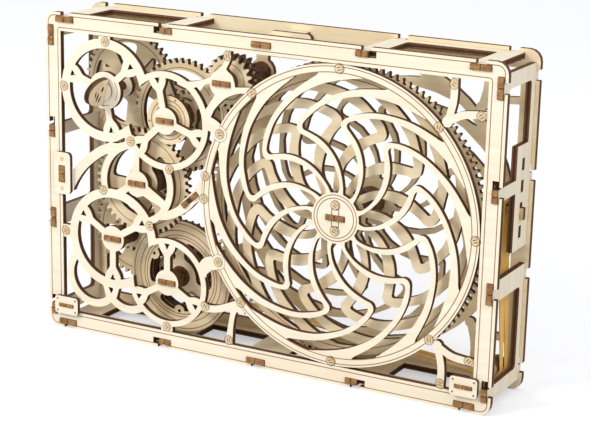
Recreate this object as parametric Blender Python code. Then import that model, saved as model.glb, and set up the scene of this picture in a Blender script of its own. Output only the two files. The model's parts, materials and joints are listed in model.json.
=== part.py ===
# Wooden kinetic puzzle: a flat plywood frame with two fixed spiral grilles and a spiral wheel
# that turns between them, a train of toothed wheels on fixed axles, a winding drum, a start knob
# and a rubber band.
# Flat pieces are drawn in millimetres as a cutter's drawing, then given their sheet thickness.
# Drawing axes: x to the right, z up, depth from the front face towards the back.
import math

import bpy
import numpy as np
from mathutils import Vector
from mathutils.geometry import delaunay_2d_cdt

MM = 0.001

# Sheets and gaps
SHEET = 4.0
SEAT_GAP = 0.3
RUN_GAP = 0.4
CURVE_SAG = 0.2

# Front and rear panels
PANEL_LEFT = -1.5
PANEL_RIGHT = 340.0
PANEL_LOW = -0.7
PANEL_TOP = 226.8
PANEL_DEPTH = 54.0
PANEL_CORNER = 8.0
BAR_SIDE = 12.5
BAR_TOP = 12.8
SLOT_LENGTH = 14.5
SHORT_TENON = 8.6
SLOT_INSET = 4.6
MIDDLE_DROP = 2.0
STATION_2 = 0.28
STATION_4 = 0.72
STATION_5_SHIFT = 2.0
SLOT_MOUTH = 7.0

# Fixed grilles and the spiral wheel between them
RING_WIDTH = 5.6
LUG_INSET = 2.7
ARM_COUNT = 12
GRILLE_HUB = 17.0
WHEEL_HUB = 17.5
WHEEL_RIM_OUT = 94.8
WHEEL_RIM_IN = 88.6
REAR_RING_BITE = 1.2
TOOTHED_RING_IN = 91.8

# Toothed wheels: one tooth size for the whole train
MODULE = 1.62
TIP_RATIO = 0.78
ROOT_RATIO = 1.12
WHEEL_TEETH = 123
SMALL_G = 19
LARGE_G = 21
LARGE_A = 47
SMALL_A = 19
LARGE_B = 45
SMALL_B = 16
LARGE_C = 42
SMALL_C = 16
LARGE_D = 47
LARGE_K = 44

# Directions from one axle to the next, in degrees from +x
TURN_H_G = 137.8
TURN_G_A = 214.7
TURN_A_B = 244.2
TURN_B_C = 244.6
TURN_C_D = 331.4
TURN_A_K = 162.4

# Axles, tenons and rivets
AXLE_RADIUS = 7.2
AXLE_SAG = 0.2
TENON_LENGTH = 13.6
TENON_HEIGHT = 3.4
SLEEVE_RADIUS = 10.0
RIVET_RADIUS = 3.6
RIVET_RISE = 0.8
HUB_RIVET = 8.6

# Lattice at the left
LATTICE_RING = 34.0
LATTICE_OPEN = 29.6
KNOB_RING = 35.6
KNOB_OPEN = 29.0
SMALL_RING = 29.5
SMALL_OPEN = 24.6
DRUM_RING = 31.6
DRUM_OPEN = 27.6
SPOKE_WAIST = 2.4
SPOKE_FLARE = 6.9
HUB_PAD = 9.2
KNOB_PAD = 13.0
TAB_WIDTH = 9.2
LUG_RADIUS = 5.2
LUG_PLACES = ((139.0, 157.5), (139.0, 69.0))

# Winding drum
FLANGE_RADIUS = 40.0
DRUM_CORE = 12.5
DRUM_STACK = 29.0
DRUM_WINDOW_IN = 12.5
DRUM_WINDOW_OUT = 25.5
DRUM_WINDOW_STARTS = (105, 225, 345)
DRUM_WINDOW_SPAN = 95
DRUM_LUG = 4.2
REAR_FLANGE = 21.0

# Smooth disc in front of the toothed wheels on axle A
COVER_RADIUS = 16.8
COVER_THICK = 2.6

# Start knob
KNOB_RADIUS = 6.5
KNOB_THICK = 1.0
GRIP_REACH = 20.0
GRIP_WIDTH = 20.0
GRIP_TILT = 16.0
GRIP_SLOTS = ((6.0, 3.5, 5.0), (9.5, -3.0, 7.5), (5.0, -4.5, 6.0))
GRIP_SLOT = 1.8
KNOB_SHAFT = 3.0
BRAKE_REACH = 14.5
BRAKE_TURN = 75.0

# Bands
BAND_RADIUS = 1.1
PEG_HEIGHT = 4.3
PEG_DROP = 3.5
PEG_INSIDE = 14.0
PEG_OUTSIDE = 2.2
PEG_ROUND = 2.0
PEG_TURN = 1.6
ROLLER_RADIUS = 5.0
ROLLER_PIN = 1.5
ROLLER_PLACE = (325.5, 19.0)
ROLLER_MARGIN = 4.0


def layer(index):
    """Depth of the front of a sheet: sheet 0 is the front panel's own."""
    return index * (SHEET + RUN_GAP)


def pitch_radius(teeth):
    return MODULE * teeth / 2


def polar(radius, degrees, centre=(0.0, 0.0)):
    turn = math.radians(degrees)
    return (centre[0] + radius * math.cos(turn), centre[1] + radius * math.sin(turn))


def mesh_place(start, teeth_a, teeth_b, degrees):
    """The next axle's place, so that two toothed wheels meet at their pitch circles."""
    return polar(pitch_radius(teeth_a) + pitch_radius(teeth_b), degrees, start)


# Window of the front panel, and the axle places that follow from it
WIN_LEFT = PANEL_LEFT + BAR_SIDE
WIN_RIGHT = PANEL_RIGHT - BAR_SIDE
WIN_LOW = PANEL_LOW + BAR_TOP
WIN_TOP = PANEL_TOP - BAR_TOP
RING_OUT = (WIN_TOP - WIN_LOW) / 2 - SEAT_GAP
RING_IN = RING_OUT - RING_WIDTH
AXLE_H = (WIN_RIGHT - RING_OUT - 2 * SEAT_GAP, (WIN_TOP + WIN_LOW) / 2)
AXLE_G = mesh_place(AXLE_H, WHEEL_TEETH, LARGE_G, TURN_H_G)
AXLE_A = mesh_place(AXLE_G, SMALL_G, LARGE_A, TURN_G_A)
AXLE_B = mesh_place(AXLE_A, SMALL_A, LARGE_B, TURN_A_B)
AXLE_C = mesh_place(AXLE_B, SMALL_B, LARGE_C, TURN_B_C)
AXLE_D = mesh_place(AXLE_C, SMALL_C, LARGE_D, TURN_C_D)
AXLE_K = mesh_place(AXLE_A, SMALL_A, LARGE_K, TURN_A_K)


CENTRE_X = (PANEL_LEFT + PANEL_RIGHT) / 2
GRIP_BACK = -KNOB_THICK - 2 * SEAT_GAP
CENTRE_DEPTH = (PANEL_DEPTH + SHEET + GRIP_BACK - GRIP_REACH) / 2
LOWEST = PANEL_LOW


# Outlines

def arc(centre, radius, start, end, sag=CURVE_SAG):
    """Points on an arc, from start to end in degrees, as many as the curve needs."""
    step = 2 * math.acos(max(0.0, 1 - sag / radius))
    count = max(2, math.ceil(abs(math.radians(end - start)) / step))
    return [polar(radius, start + (end - start) * i / count, centre) for i in range(count + 1)]


def disc(centre, radius, sag=CURVE_SAG):
    return arc(centre, radius, 0, 360, sag)[:-1]


def box(x0, z0, x1, z1):
    return [(x0, z0), (x1, z0), (x1, z1), (x0, z1)]


def round_box(x0, z0, x1, z1, radius):
    corners = ((x1 - radius, z1 - radius, 0), (x0 + radius, z1 - radius, 90),
               (x0 + radius, z0 + radius, 180), (x1 - radius, z0 + radius, 270))
    loop = []
    for x, z, start in corners:
        loop += arc((x, z), radius, start, start + 90)
    return loop


def turned_box(centre, length, height, degrees=0.0):
    along = Vector(polar(length / 2, degrees))
    across = Vector(polar(height / 2, degrees + 90))
    signs = ((-1, -1), (1, -1), (1, 1), (-1, 1))
    return [tuple(Vector(centre) + along * a + across * b) for a, b in signs]


def smooth(points, steps=4):
    """Points on a smooth curve through the given ones."""
    line = [Vector(p) for p in points]
    ends = [line[0] * 2 - line[1]] + line + [line[-1] * 2 - line[-2]]
    curve = []
    for i in range(1, len(ends) - 2):
        a, b, c, d = ends[i - 1:i + 3]
        for k in range(steps):
            t = k / steps
            curve.append(0.5 * (2 * b + (c - a) * t + (2 * a - 5 * b + 4 * c - d) * t ** 2
                                + (3 * b - a - 3 * c + d) * t ** 3))
    curve.append(line[-1])
    return curve


def band(points, width, end_width=None):
    """A strip of even or tapering width along a line of points."""
    line = [Vector(p) for p in points]
    end_width = width if end_width is None else end_width
    left, right = [], []
    for i, here in enumerate(line):
        ahead = line[min(i + 1, len(line) - 1)] - line[max(i - 1, 0)]
        side = Vector((-ahead.y, ahead.x)).normalized()
        half = (width + (end_width - width) * i / (len(line) - 1)) / 2
        left.append(tuple(here + side * half))
        right.append(tuple(here - side * half))
    return left[::-1] + right


def spun(loop, centre, degrees):
    turn = math.radians(degrees)
    c, s = math.cos(turn), math.sin(turn)
    return [(centre[0] + x * c - z * s, centre[1] + x * s + z * c) for x, z in loop]


def gear_loop(centre, teeth, phase=0.0):
    """A toothed outline with straight flanks; phase is the angle of one tooth's tip."""
    pitch = pitch_radius(teeth)
    step = 360 / teeth
    loop = []
    for i in range(teeth):
        loop.append(polar(pitch + TIP_RATIO * MODULE, phase + i * step, centre))
        loop.append(polar(pitch - ROOT_RATIO * MODULE, phase + (i + 0.5) * step, centre))
    return loop


def partner_phase(centre, teeth, phase, other, other_teeth):
    """The phase of a second toothed wheel whose gap faces the first one's tooth."""
    line = math.degrees(math.atan2(other[1] - centre[1], other[0] - centre[0]))
    along = ((line - phase) / (360 / teeth)) % 1
    return line + 180 + (along + 0.5) * 360 / other_teeth


def contains(loop, places):
    """Which places lie inside a loop."""
    inside = np.zeros(len(places), bool)
    x, z = places[:, 0], places[:, 1]
    for (x0, z0), (x1, z1) in zip(loop, loop[1:] + loop[:1]):
        if z0 == z1:
            continue
        crosses = (z0 > z) != (z1 > z)
        inside ^= crosses & (x < (x1 - x0) * (z - z0) / (z1 - z0) + x0)
    return inside


class Drawing:
    """A flat outline: loops are added and cut in order, and a later one wins."""

    def __init__(self, name):
        self.name = name
        self.steps = []

    def add(self, *loops):
        self.steps += [(True, loop) for loop in loops]
        return self

    def cut(self, *loops):
        self.steps += [(False, loop) for loop in loops]
        return self

    def outline(self):
        """Corner places and triangles of what is left, with no needless corners."""
        places, faces = triangulated([loop for _, loop in self.steps])
        middles = places[faces].mean(axis=1)
        kept = np.zeros(len(faces), bool)
        for added, loop in self.steps:
            kept[contains(loop, middles)] = added
        loops = [straightened(loop) for loop in border_loops(places, faces[kept], self.name)]
        loops = [loop for loop in loops if len(loop) > 2]
        places, faces = triangulated(loops)
        middles = places[faces].mean(axis=1)
        kept = np.zeros(len(faces), bool)
        for loop in loops:
            kept ^= contains(loop, middles)
        return places, faces[kept]


def triangulated(loops):
    points, edges = [], []
    for loop in loops:
        first = len(points)
        points += [Vector(p) for p in loop]
        edges += [(first + i, first + (i + 1) % len(loop)) for i in range(len(loop))]
    places, _, faces, *_ = delaunay_2d_cdt(points, edges, [], 0, 1e-4)
    return np.array([p[:] for p in places]), np.array(faces)


def border_edges(faces):
    edges = {(int(a), int(b)) for t in faces for a, b in ((t[0], t[1]), (t[1], t[2]), (t[2], t[0]))}
    return sorted((a, b) for a, b in edges if (b, a) not in edges)


def border_loops(places, faces, name):
    """The border as loops of places, the material on the left."""
    ahead = {}
    for a, b in border_edges(faces):
        if a in ahead:
            raise ValueError(f"{name}: two openings touch at {places[a]}")
        ahead[a] = b
    loops = []
    while ahead:
        start = min(ahead)
        loop = [start]
        here = ahead.pop(start)
        while here != start:
            loop.append(here)
            here = ahead.pop(here)
        loops.append([tuple(places[i]) for i in loop])
    return loops


def straightened(loop, close=0.02, flat=0.004):
    """The loop without doubled corners and without corners on a straight line."""
    corners = []
    for place in loop:
        if not corners or math.dist(place, corners[-1]) > close:
            corners.append(place)
    if math.dist(corners[0], corners[-1]) <= close:
        corners.pop()
    kept = []
    for i, here in enumerate(corners):
        before = kept[-1] if kept else corners[i - 1]
        after = corners[(i + 1) % len(corners)]
        span = math.dist(before, after)
        area = ((after[0] - before[0]) * (here[1] - before[1])
                - (after[1] - before[1]) * (here[0] - before[0]))
        if span < close or abs(area) / span > flat:
            kept.append(here)
    return kept


# Finishes

def finish(name, colour, roughness=0.6):
    material = bpy.data.materials.new(name)
    material.use_nodes = True
    shader = material.node_tree.nodes["Principled BSDF"]
    shader.inputs["Base Color"].default_value = (*colour, 1)
    shader.inputs["Roughness"].default_value = roughness
    shader.inputs["Metallic"].default_value = 0
    return material


PALE_PLY = finish("pale_plywood", (0.78, 0.66, 0.46))
WARM_PLY = finish("warm_plywood", (0.64, 0.48, 0.28))
BURNT_EDGE = finish("burnt_edge", (0.22, 0.10, 0.04), 0.7)
RUBBER = finish("amber_rubber", (0.72, 0.42, 0.08), 0.4)

for old in list(bpy.data.objects):
    bpy.data.objects.remove(old, do_unlink=True)


# Pieces

def row_place(x, depth, z):
    """A drawing place, in millimetres, as a place in the part's own frame, in metres."""
    return Vector(((x - CENTRE_X) * MM, (depth - CENTRE_DEPTH) * MM, (z - LOWEST) * MM))


FACING = {
    "front": lambda u, v, w: (u, w, v),
    "side": lambda u, v, w: (w, u, v),
    "top": lambda u, v, w: (u, v, w),
}


def prism(places, triangles, turned):
    """Faces of an outline given a thickness: its corners near, then the same corners far."""
    count = len(places)
    faces = []
    for a, b, c in triangles.tolist():
        faces += [(a, b, c), (count + c, count + b, count + a)]
    faces += [(a, count + a, count + b, b) for a, b in border_edges(triangles)]
    return [face[::-1] for face in faces] if turned else faces


def stepped(name, levels, material, axis):
    """One solid whose outline changes with depth; each level's outline lies inside or round the next."""
    verts, faces, known = [], [], {}

    def corner(place, depth):
        key = (round(place[0], 3), round(place[1], 3), round(depth, 3))
        if key not in known:
            known[key] = len(verts)
            verts.append(row_place(key[0], key[2], key[1]))
        return known[key]

    def cap(loops, depth, to_front):
        places, triangles = Drawing(name).add(loops[0]).cut(*loops[1:]).outline()
        for triangle in triangles:
            face = [corner(places[i], depth) for i in triangle]
            faces.append(face if to_front else face[::-1])

    for loop, start, end in levels:
        for a, b in zip(loop, loop[1:] + loop[:1]):
            faces.append([corner(a, start), corner(a, end), corner(b, end), corner(b, start)])
    cap([levels[0][0]], levels[0][1], True)
    cap([levels[-1][0]], levels[-1][2], False)
    for (here, _, depth), (ahead, _, _) in zip(levels, levels[1:]):
        grows = max(math.dist(p, axis) for p in ahead) > max(math.dist(p, axis) for p in here)
        cap([ahead, here] if grows else [here, ahead], depth, grows)
    return linked(name, verts, faces, material, axis)


def linked(name, verts, faces, material, axis=None):
    """The node's object, with its origin on its axis where it has one."""
    origin = row_place(axis[0], 0, axis[1]) if axis else Vector((0, 0, 0))
    origin.y = 0
    mesh = bpy.data.meshes.new(name)
    mesh.from_pydata([v - origin for v in verts], [], faces)
    mesh.materials.append(material)
    made = bpy.data.objects.new(name, mesh)
    made.location = origin
    bpy.context.scene.collection.objects.link(made)
    return made


def plate(drawing, start, material=PALE_PLY, thickness=SHEET, facing="front", axis=None):
    """A flat piece from its drawing; facing says which way its broad side looks."""
    places, triangles = drawing.outline()
    verts = [row_place(*FACING[facing](u, v, w)) for w in (start, start + thickness) for u, v in places]
    return linked(drawing.name, verts, prism(places, triangles, facing != "front"), material, axis)


# Stations of the frame's tenons along its width and height

def along_width(share):
    return PANEL_LEFT + (PANEL_RIGHT - PANEL_LEFT) * share


def along_height(share):
    return PANEL_LOW + (PANEL_TOP - PANEL_LOW) * share


END_INSET = BAR_SIDE + SLOT_LENGTH / 4
TOP_STATIONS = [PANEL_LEFT + END_INSET, along_width(STATION_2), along_width(0.5),
                along_width(STATION_4), PANEL_RIGHT - END_INSET - STATION_5_SHIFT]
SIDE_STATIONS = [PANEL_LOW + END_INSET, along_height(0.356), along_height(0.644),
                 PANEL_TOP - END_INSET]
SLOT_LOW = PANEL_LOW + SLOT_INSET
SLOT_TOP = PANEL_TOP - SLOT_INSET
SLOT_LEFT = PANEL_LEFT + SLOT_INSET
SLOT_RIGHT = PANEL_RIGHT - SLOT_INSET
FRAME_DEPTH = PANEL_DEPTH - SHEET


def frame_outline(name):
    """A panel's outer edge, its window, its tenon slots and the notches in its top edge."""
    drawing = Drawing(name)
    drawing.add(round_box(PANEL_LEFT, PANEL_LOW, PANEL_RIGHT, PANEL_TOP, PANEL_CORNER))
    drawing.cut(box(WIN_LEFT, WIN_LOW, WIN_RIGHT, WIN_TOP))
    mouth = SLOT_MOUTH / 2
    for x in TOP_STATIONS:
        top = SLOT_TOP - MIDDLE_DROP if x == TOP_STATIONS[2] else SLOT_TOP
        for z, edge in ((SLOT_LOW, PANEL_LOW - 1), (top, PANEL_TOP + 1)):
            drawing.cut(turned_box((x, z), SLOT_LENGTH, SHEET + SEAT_GAP))
            if z != top or top == SLOT_TOP:
                drawing.cut(box(x - mouth, min(z, edge), x + mouth, max(z, edge)))
    for z in SIDE_STATIONS:
        for x, edge in ((SLOT_LEFT, PANEL_LEFT - 1), (SLOT_RIGHT, PANEL_RIGHT + 1)):
            drawing.cut(turned_box((x, z), SHEET + SEAT_GAP, SLOT_LENGTH))
            drawing.cut(box(min(x, edge), z - mouth, max(x, edge), z + mouth))
    return drawing


def tenon_slot(axle, room=SEAT_GAP):
    """The flat slot that an axle's tenon passes through."""
    return turned_box(axle, TENON_LENGTH + 2 * room, TENON_HEIGHT + 2 * room)


def front_panel():
    plate(frame_outline("front_panel"), 0)


REAR_BAR = 9.0


def rear_panel():
    """The rear panel: the same frame, the same spiral grille and bars that hold the axles' rear ends."""
    drawing = frame_outline("rear_panel")
    for side in (1, -1):
        drawing.add(*strut_arms(side))
    drawing.add(disc(AXLE_H, RING_OUT + REAR_RING_BITE)).cut(disc(AXLE_H, RING_IN))
    drawing.add(*spiral_arms(AXLE_H, GRILLE_ARM), disc(AXLE_H, GRILLE_HUB))
    ring_left = [polar(RING_OUT - 1, turn, AXLE_H) for turn in (138, 165, 207, 222)]
    lines = [
        [ring_left[0], AXLE_G], [ring_left[1], AXLE_A], [ring_left[2], AXLE_D], [ring_left[3], AXLE_D],
        [AXLE_G, (AXLE_G[0], WIN_TOP + 2)],
        [AXLE_G, AXLE_A], [AXLE_A, AXLE_B], [AXLE_B, AXLE_C], [AXLE_C, AXLE_D],
        [AXLE_A, AXLE_K], [AXLE_K, (AXLE_K[0], WIN_TOP + 2)], [AXLE_K, (WIN_LEFT - 2, AXLE_K[1])],
        [AXLE_C, (WIN_LEFT - 2, AXLE_C[1])], [AXLE_D, (AXLE_D[0], WIN_LOW - 2)],
    ]
    drawing.add(*[band(line, REAR_BAR) for line in lines])
    for axle in (AXLE_G, AXLE_A, AXLE_B, AXLE_C, AXLE_D, AXLE_K):
        drawing.add(disc(axle, HUB_PAD))
    for axle in (AXLE_H, AXLE_G, AXLE_A, AXLE_B, AXLE_C, AXLE_D):
        drawing.cut(tenon_slot(axle))
    drawing.cut(disc(AXLE_K, KNOB_SHAFT + SEAT_GAP))
    plate(drawing, PANEL_DEPTH, WARM_PLY)


def tenon_span(middle, which):
    """The two ends of a tenon in its slot: full, or short with room above or on one side."""
    low, high = middle - SLOT_LENGTH / 2 + SEAT_GAP, middle + SLOT_LENGTH / 2 - SEAT_GAP
    if which == "low":
        return low, low + SHORT_TENON
    if which == "high":
        return high - SHORT_TENON, high
    return low, high


# Which part of its slot each tenon fills, from the left or from below
TOP_TENONS = ("full", "high", "full", "low", "full")
SIDE_TENONS = ("low", "full", "low", "full")

SIDE_RAIL = 5.2
SIDE_REAR_RAIL = 6.4
SIDE_CORNER = 2.6
SIDE_EDGE = 8.0
SIDE_TOP_BAR = 10.0
TONGUE_FRONT = 29.5
TONGUE_LOW = 100.0
TONGUE_STEP = 169.0
TONGUE_DEPTH = 40.8
TONGUE_SLOTS = (155.9, 141.6, 127.0, 111.5)
TONGUE_SLOT_LENGTH = 8.0
PEG_SLOT = 2


def side_panel(name, slot_x, with_tongue):
    """A side frame: two rails, bars at the tenon stations, and at the right a tongue."""
    low, high = SHEET + SEAT_GAP, PANEL_DEPTH - SEAT_GAP
    front, rear = low + SIDE_RAIL, high - SIDE_REAR_RAIL
    bottom, top = PANEL_LOW + SIDE_EDGE, PANEL_TOP - SIDE_EDGE
    spans = [tenon_span(z, which) for z, which in zip(SIDE_STATIONS, SIDE_TENONS)]
    drawing = Drawing(name).add(box(low, bottom, high, top))
    for below, above in zip(spans, spans[1:]):
        top_edge = top - SIDE_TOP_BAR if above is spans[3] else above[0]
        drawing.cut(round_box(front, below[1], rear, top_edge, SIDE_CORNER))
    if with_tongue:
        drawing.cut(box(rear - SIDE_CORNER, spans[1][1], high + 1, TONGUE_LOW))
        drawing.add(box(TONGUE_FRONT, TONGUE_LOW, high, TONGUE_STEP))
    for start, end in spans:
        drawing.add(box(0, start, front, end), box(rear, start, PANEL_DEPTH + SHEET, end))
    if with_tongue:
        for z in TONGUE_SLOTS:
            drawing.cut(turned_box((TONGUE_DEPTH, z), SHEET + SEAT_GAP, TONGUE_SLOT_LENGTH))
    plate(drawing, slot_x - SHEET / 2, facing="side")


TOP_BAR = 8.0


def top_frame(name, first, last):
    """A top frame between two stations: rails along x and bars along the depth."""
    drawing = Drawing(name)
    x0 = TOP_STATIONS[first] - SLOT_LENGTH / 2 + SEAT_GAP
    x1 = TOP_STATIONS[last] + SLOT_LENGTH / 2 - SEAT_GAP
    y0, y1 = SHEET + SEAT_GAP, PANEL_DEPTH - SEAT_GAP
    drawing.add(box(x0, y0, x1, y1))
    drawing.cut(round_box(x0 + SLOT_LENGTH, y0 + TOP_BAR, x1 - SLOT_LENGTH, y1 - TOP_BAR, 2.0))
    for station in (first, last):
        start, end = tenon_span(TOP_STATIONS[station], TOP_TENONS[station])
        drawing.add(box(start, 0, end, PANEL_DEPTH + SHEET))
    plate(drawing, SLOT_TOP - SHEET / 2, facing="top")


def cross_bar(name, station, z):
    x = TOP_STATIONS[station]
    drawing = Drawing(name)
    half = SLOT_LENGTH / 2 - SEAT_GAP
    drawing.add(box(x - half, 0, x + half, PANEL_DEPTH + SHEET))
    plate(drawing, z - SHEET / 2, facing="top")


def bottom_panel():
    drawing = Drawing("bottom_panel")
    y0, y1 = SHEET + SEAT_GAP, PANEL_DEPTH - SEAT_GAP
    x0 = TOP_STATIONS[0] - SLOT_LENGTH / 2 + SEAT_GAP
    x1 = TOP_STATIONS[4] + SLOT_LENGTH / 2 - SEAT_GAP
    drawing.add(box(x0, y0, x1, y1))
    for x, which in zip(TOP_STATIONS, TOP_TENONS):
        start, end = tenon_span(x, which)
        drawing.add(box(start, 0, end, PANEL_DEPTH + SHEET))
    for i in range(4):
        drawing.cut(box(TOP_STATIONS[i] + SLOT_LENGTH, y0 + 2 * TOP_BAR,
                        TOP_STATIONS[i + 1] - SLOT_LENGTH, y1 - TOP_BAR))
    plate(drawing, SLOT_LOW - SHEET / 2, WARM_PLY, facing="top")


INNER_PLATE_DEPTH = 27.0


def inner_top_plate():
    """A short upright plate behind the middle of the top edge."""
    drawing = Drawing("inner_top_plate")
    x0, x1 = TOP_STATIONS[2] - 10, TOP_STATIONS[2] + 22
    drawing.add(round_box(x0, WIN_TOP - 6, x1, PANEL_TOP - 1.5, 3.0))
    drawing.cut(turned_box((TOP_STATIONS[2], SLOT_TOP - MIDDLE_DROP), SLOT_LENGTH, SHEET + 2 * SEAT_GAP))
    plate(drawing, INNER_PLATE_DEPTH)


# Front openwork

def beside(place, points):
    """Points given from a place, such as an axle, as drawing places."""
    return [(place[0] + x, place[1] + z) for x, z in points]


SPOKE_SHAPE = ((0.0, 0.0), (0.68, 0.0), (0.76, 0.33), (0.93, 0.86), (1.06, 1.0))
SPOKE_HOLE = 2.2
HOLE_SHARE = 0.935


def ring_spokes(drawing, axle, opening, angles):
    """Three spokes, slim at the hub and flared at the ring, each with a small hole near the ring."""
    side = [(opening * r, SPOKE_WAIST + (SPOKE_FLARE - SPOKE_WAIST) * share) for r, share in SPOKE_SHAPE]
    spoke = side + [(r, -half) for r, half in reversed(side)]
    hole = opening * HOLE_SHARE
    for angle in angles:
        drawing.add(spun(spoke, axle, angle))
        drawing.cut(spun([(hole + SPOKE_HOLE, -SPOKE_HOLE), (hole + SPOKE_HOLE, SPOKE_HOLE),
                          (hole - SPOKE_HOLE, 0.0)], axle, angle))


LOBE_RADIUS = 22.8
LOBE_OPEN = 17.3
LOBE_HEIGHT = 30.3
WEB_FOOT = 14.0

# Edges of the arms between the rings, from the axle beside each
B_TOP_SPOKE = [(-4.6, 7.7), (-1.3, 25.5), (3.4, 25.5), (1.9, 18.5), (1.9, 9.0)]
B_LEFT_SPOKE = [(-7.1, 0.3), (-11.3, -3.5), (-17.1, -6.8), (-24.0, -7.0), (-22.0, -16.0), (-9.6, -8.3),
                (-6.7, -6.1), (-0.6, -8.7)]
B_RIGHT_SPOKE = [(8.8, -0.3), (23.8, -9.5), (21.0, -16.0), (18.2, -13.1), (10.9, -10.6), (4.3, -7.3)]
B_SWEEP = [(-56.0, -15.0), (-53.8, -13.9), (-51.6, -8.9), (-47.3, -1.8), (-41.3, 5.5), (-34.5, 11.4),
           (-26.9, 16.7), (-20.0, 19.5), (-4.0, 25.0), (-1.0, 33.5), (-12.0, 34.0), (-21.8, 26.6),
           (-30.2, 22.7), (-38.6, 16.9), (-47.1, 9.7), (-53.4, 2.4), (-56.0, -2.0)]
B_SWEEP_SLIT = [(-20.6, 26.4), (-16.1, 26.4), (-10.3, 28.1), (-9.1, 30.0), (-9.9, 31.3), (-16.0, 28.0)]
B_RIVET = (-4.8, 29.2)
RIVET_PAD = 4.7
B_FAN = [(10.0, -25.0), (16.6, -23.2), (23.8, -22.1), (31.1, -19.3), (37.5, -15.8), (43.0, -11.5),
         (47.7, -6.6), (51.3, -4.7), (55.0, -4.7), (55.0, 13.6), (53.1, 13.6), (50.0, 8.7), (46.8, 4.4),
         (44.5, 0.6), (38.2, -5.5), (35.0, -9.2), (31.0, -12.6), (25.4, -15.5), (20.0, -18.0)]
G_STAR = [(-2.6, 9.0), (-6.4, 5.2), (-12.5, 1.9), (-20.2, -0.3), (-26.5, -1.3),
          (-31.9, -0.3), (-26.8, -3.4), (-21.4, -7.9), (-16.2, -14.4), (-12.4, -21.4), (-10.5, -24.5),
          (-8.4, -23.9), (-5.4, -18.1), (-0.8, -12.9), (3.7, -9.0), (9.0, -6.4), (14.3, -4.7),
          (19.5, -4.5), (22.0, -4.0), (22.0, 0.3), (20.2, -0.1), (10.4, -1.2), (9.6, 2.4), (8.0, 6.2),
          (5.0, 8.5), (3.4, 10.3)]
G_TOP_ARM = [(3.4, 10.3), (4.9, 13.1), (6.8, 16.6)], [(-2.6, 9.0), (0.4, 12.6), (2.6, 16.2)]
G_OPENING = [(-22.2, -5.2), (-16.3, -3.4), (-9.4, -0.6), (-7.9, -2.3), (-4.0, -6.5), (-7.8, -12.3),
             (-12.3, -18.9), (-13.9, -15.7), (-18.6, -9.6)]
A_RIGHT_ARM = [(28.0, 2.0), (30.9, -2.2), (32.5, -1.3), (36.4, -2.9), (45.0, -6.0), (46.0, 0.5),
               (42.5, 4.0), (38.6, 6.2), (35.5, 7.2), (32.0, 7.5)]
D_UPPER_ARM = [(26.8, 12.5), (31.4, 8.7), (32.2, 11.7), (35.3, 14.4), (37.7, 15.5), (44.0, 16.2),
               (43.0, 26.4), (40.7, 26.4), (36.0, 25.1), (29.7, 22.7), (25.8, 18.1)]
D_LOWER_ARM = [(27.0, -13.0), (29.3, -15.3), (37.2, -15.0), (44.4, -13.3), (50.6, -11.1), (62.0, -12.0),
               (62.0, -2.0), (55.2, -3.5), (50.6, -5.4), (42.7, -8.6), (36.4, -10.1), (31.6, -9.9),
               (28.0, -10.5)]
D_LEG_LEFT = [(47.4, -33.6), (48.5, -26.9), (50.0, -18.0), (51.5, -10.0)]
D_LEG_RIGHT = [(60.0, -4.0), (57.3, -8.9), (54.6, -14.3), (53.2, -23.2), (52.9, -31.9)]
C_RIM_LINE = 2.0


def b_ring(drawing):
    """The small ring with its three uneven spokes; its low opening runs along the next ring."""
    b, c = AXLE_B, AXLE_C
    drawing.add(disc(b, SMALL_RING)).cut(disc(b, SMALL_OPEN))
    for spoke in (B_TOP_SPOKE, B_LEFT_SPOKE, B_RIGHT_SPOKE):
        drawing.add(beside(b, spoke))
    drawing.add(disc(c, LATTICE_RING + C_RIM_LINE))


def g_star(drawing):
    """The three-armed plate round the pinion's axle, below the window's top edge."""
    g = AXLE_G
    drawing.add(beside(g, G_STAR))
    right, left = (beside(g, side) for side in G_TOP_ARM)
    drawing.add([g] + right + [(right[-1][0], WIN_TOP), (left[-1][0], WIN_TOP)] + left[::-1])
    drawing.cut(beside(g, G_OPENING))


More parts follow.
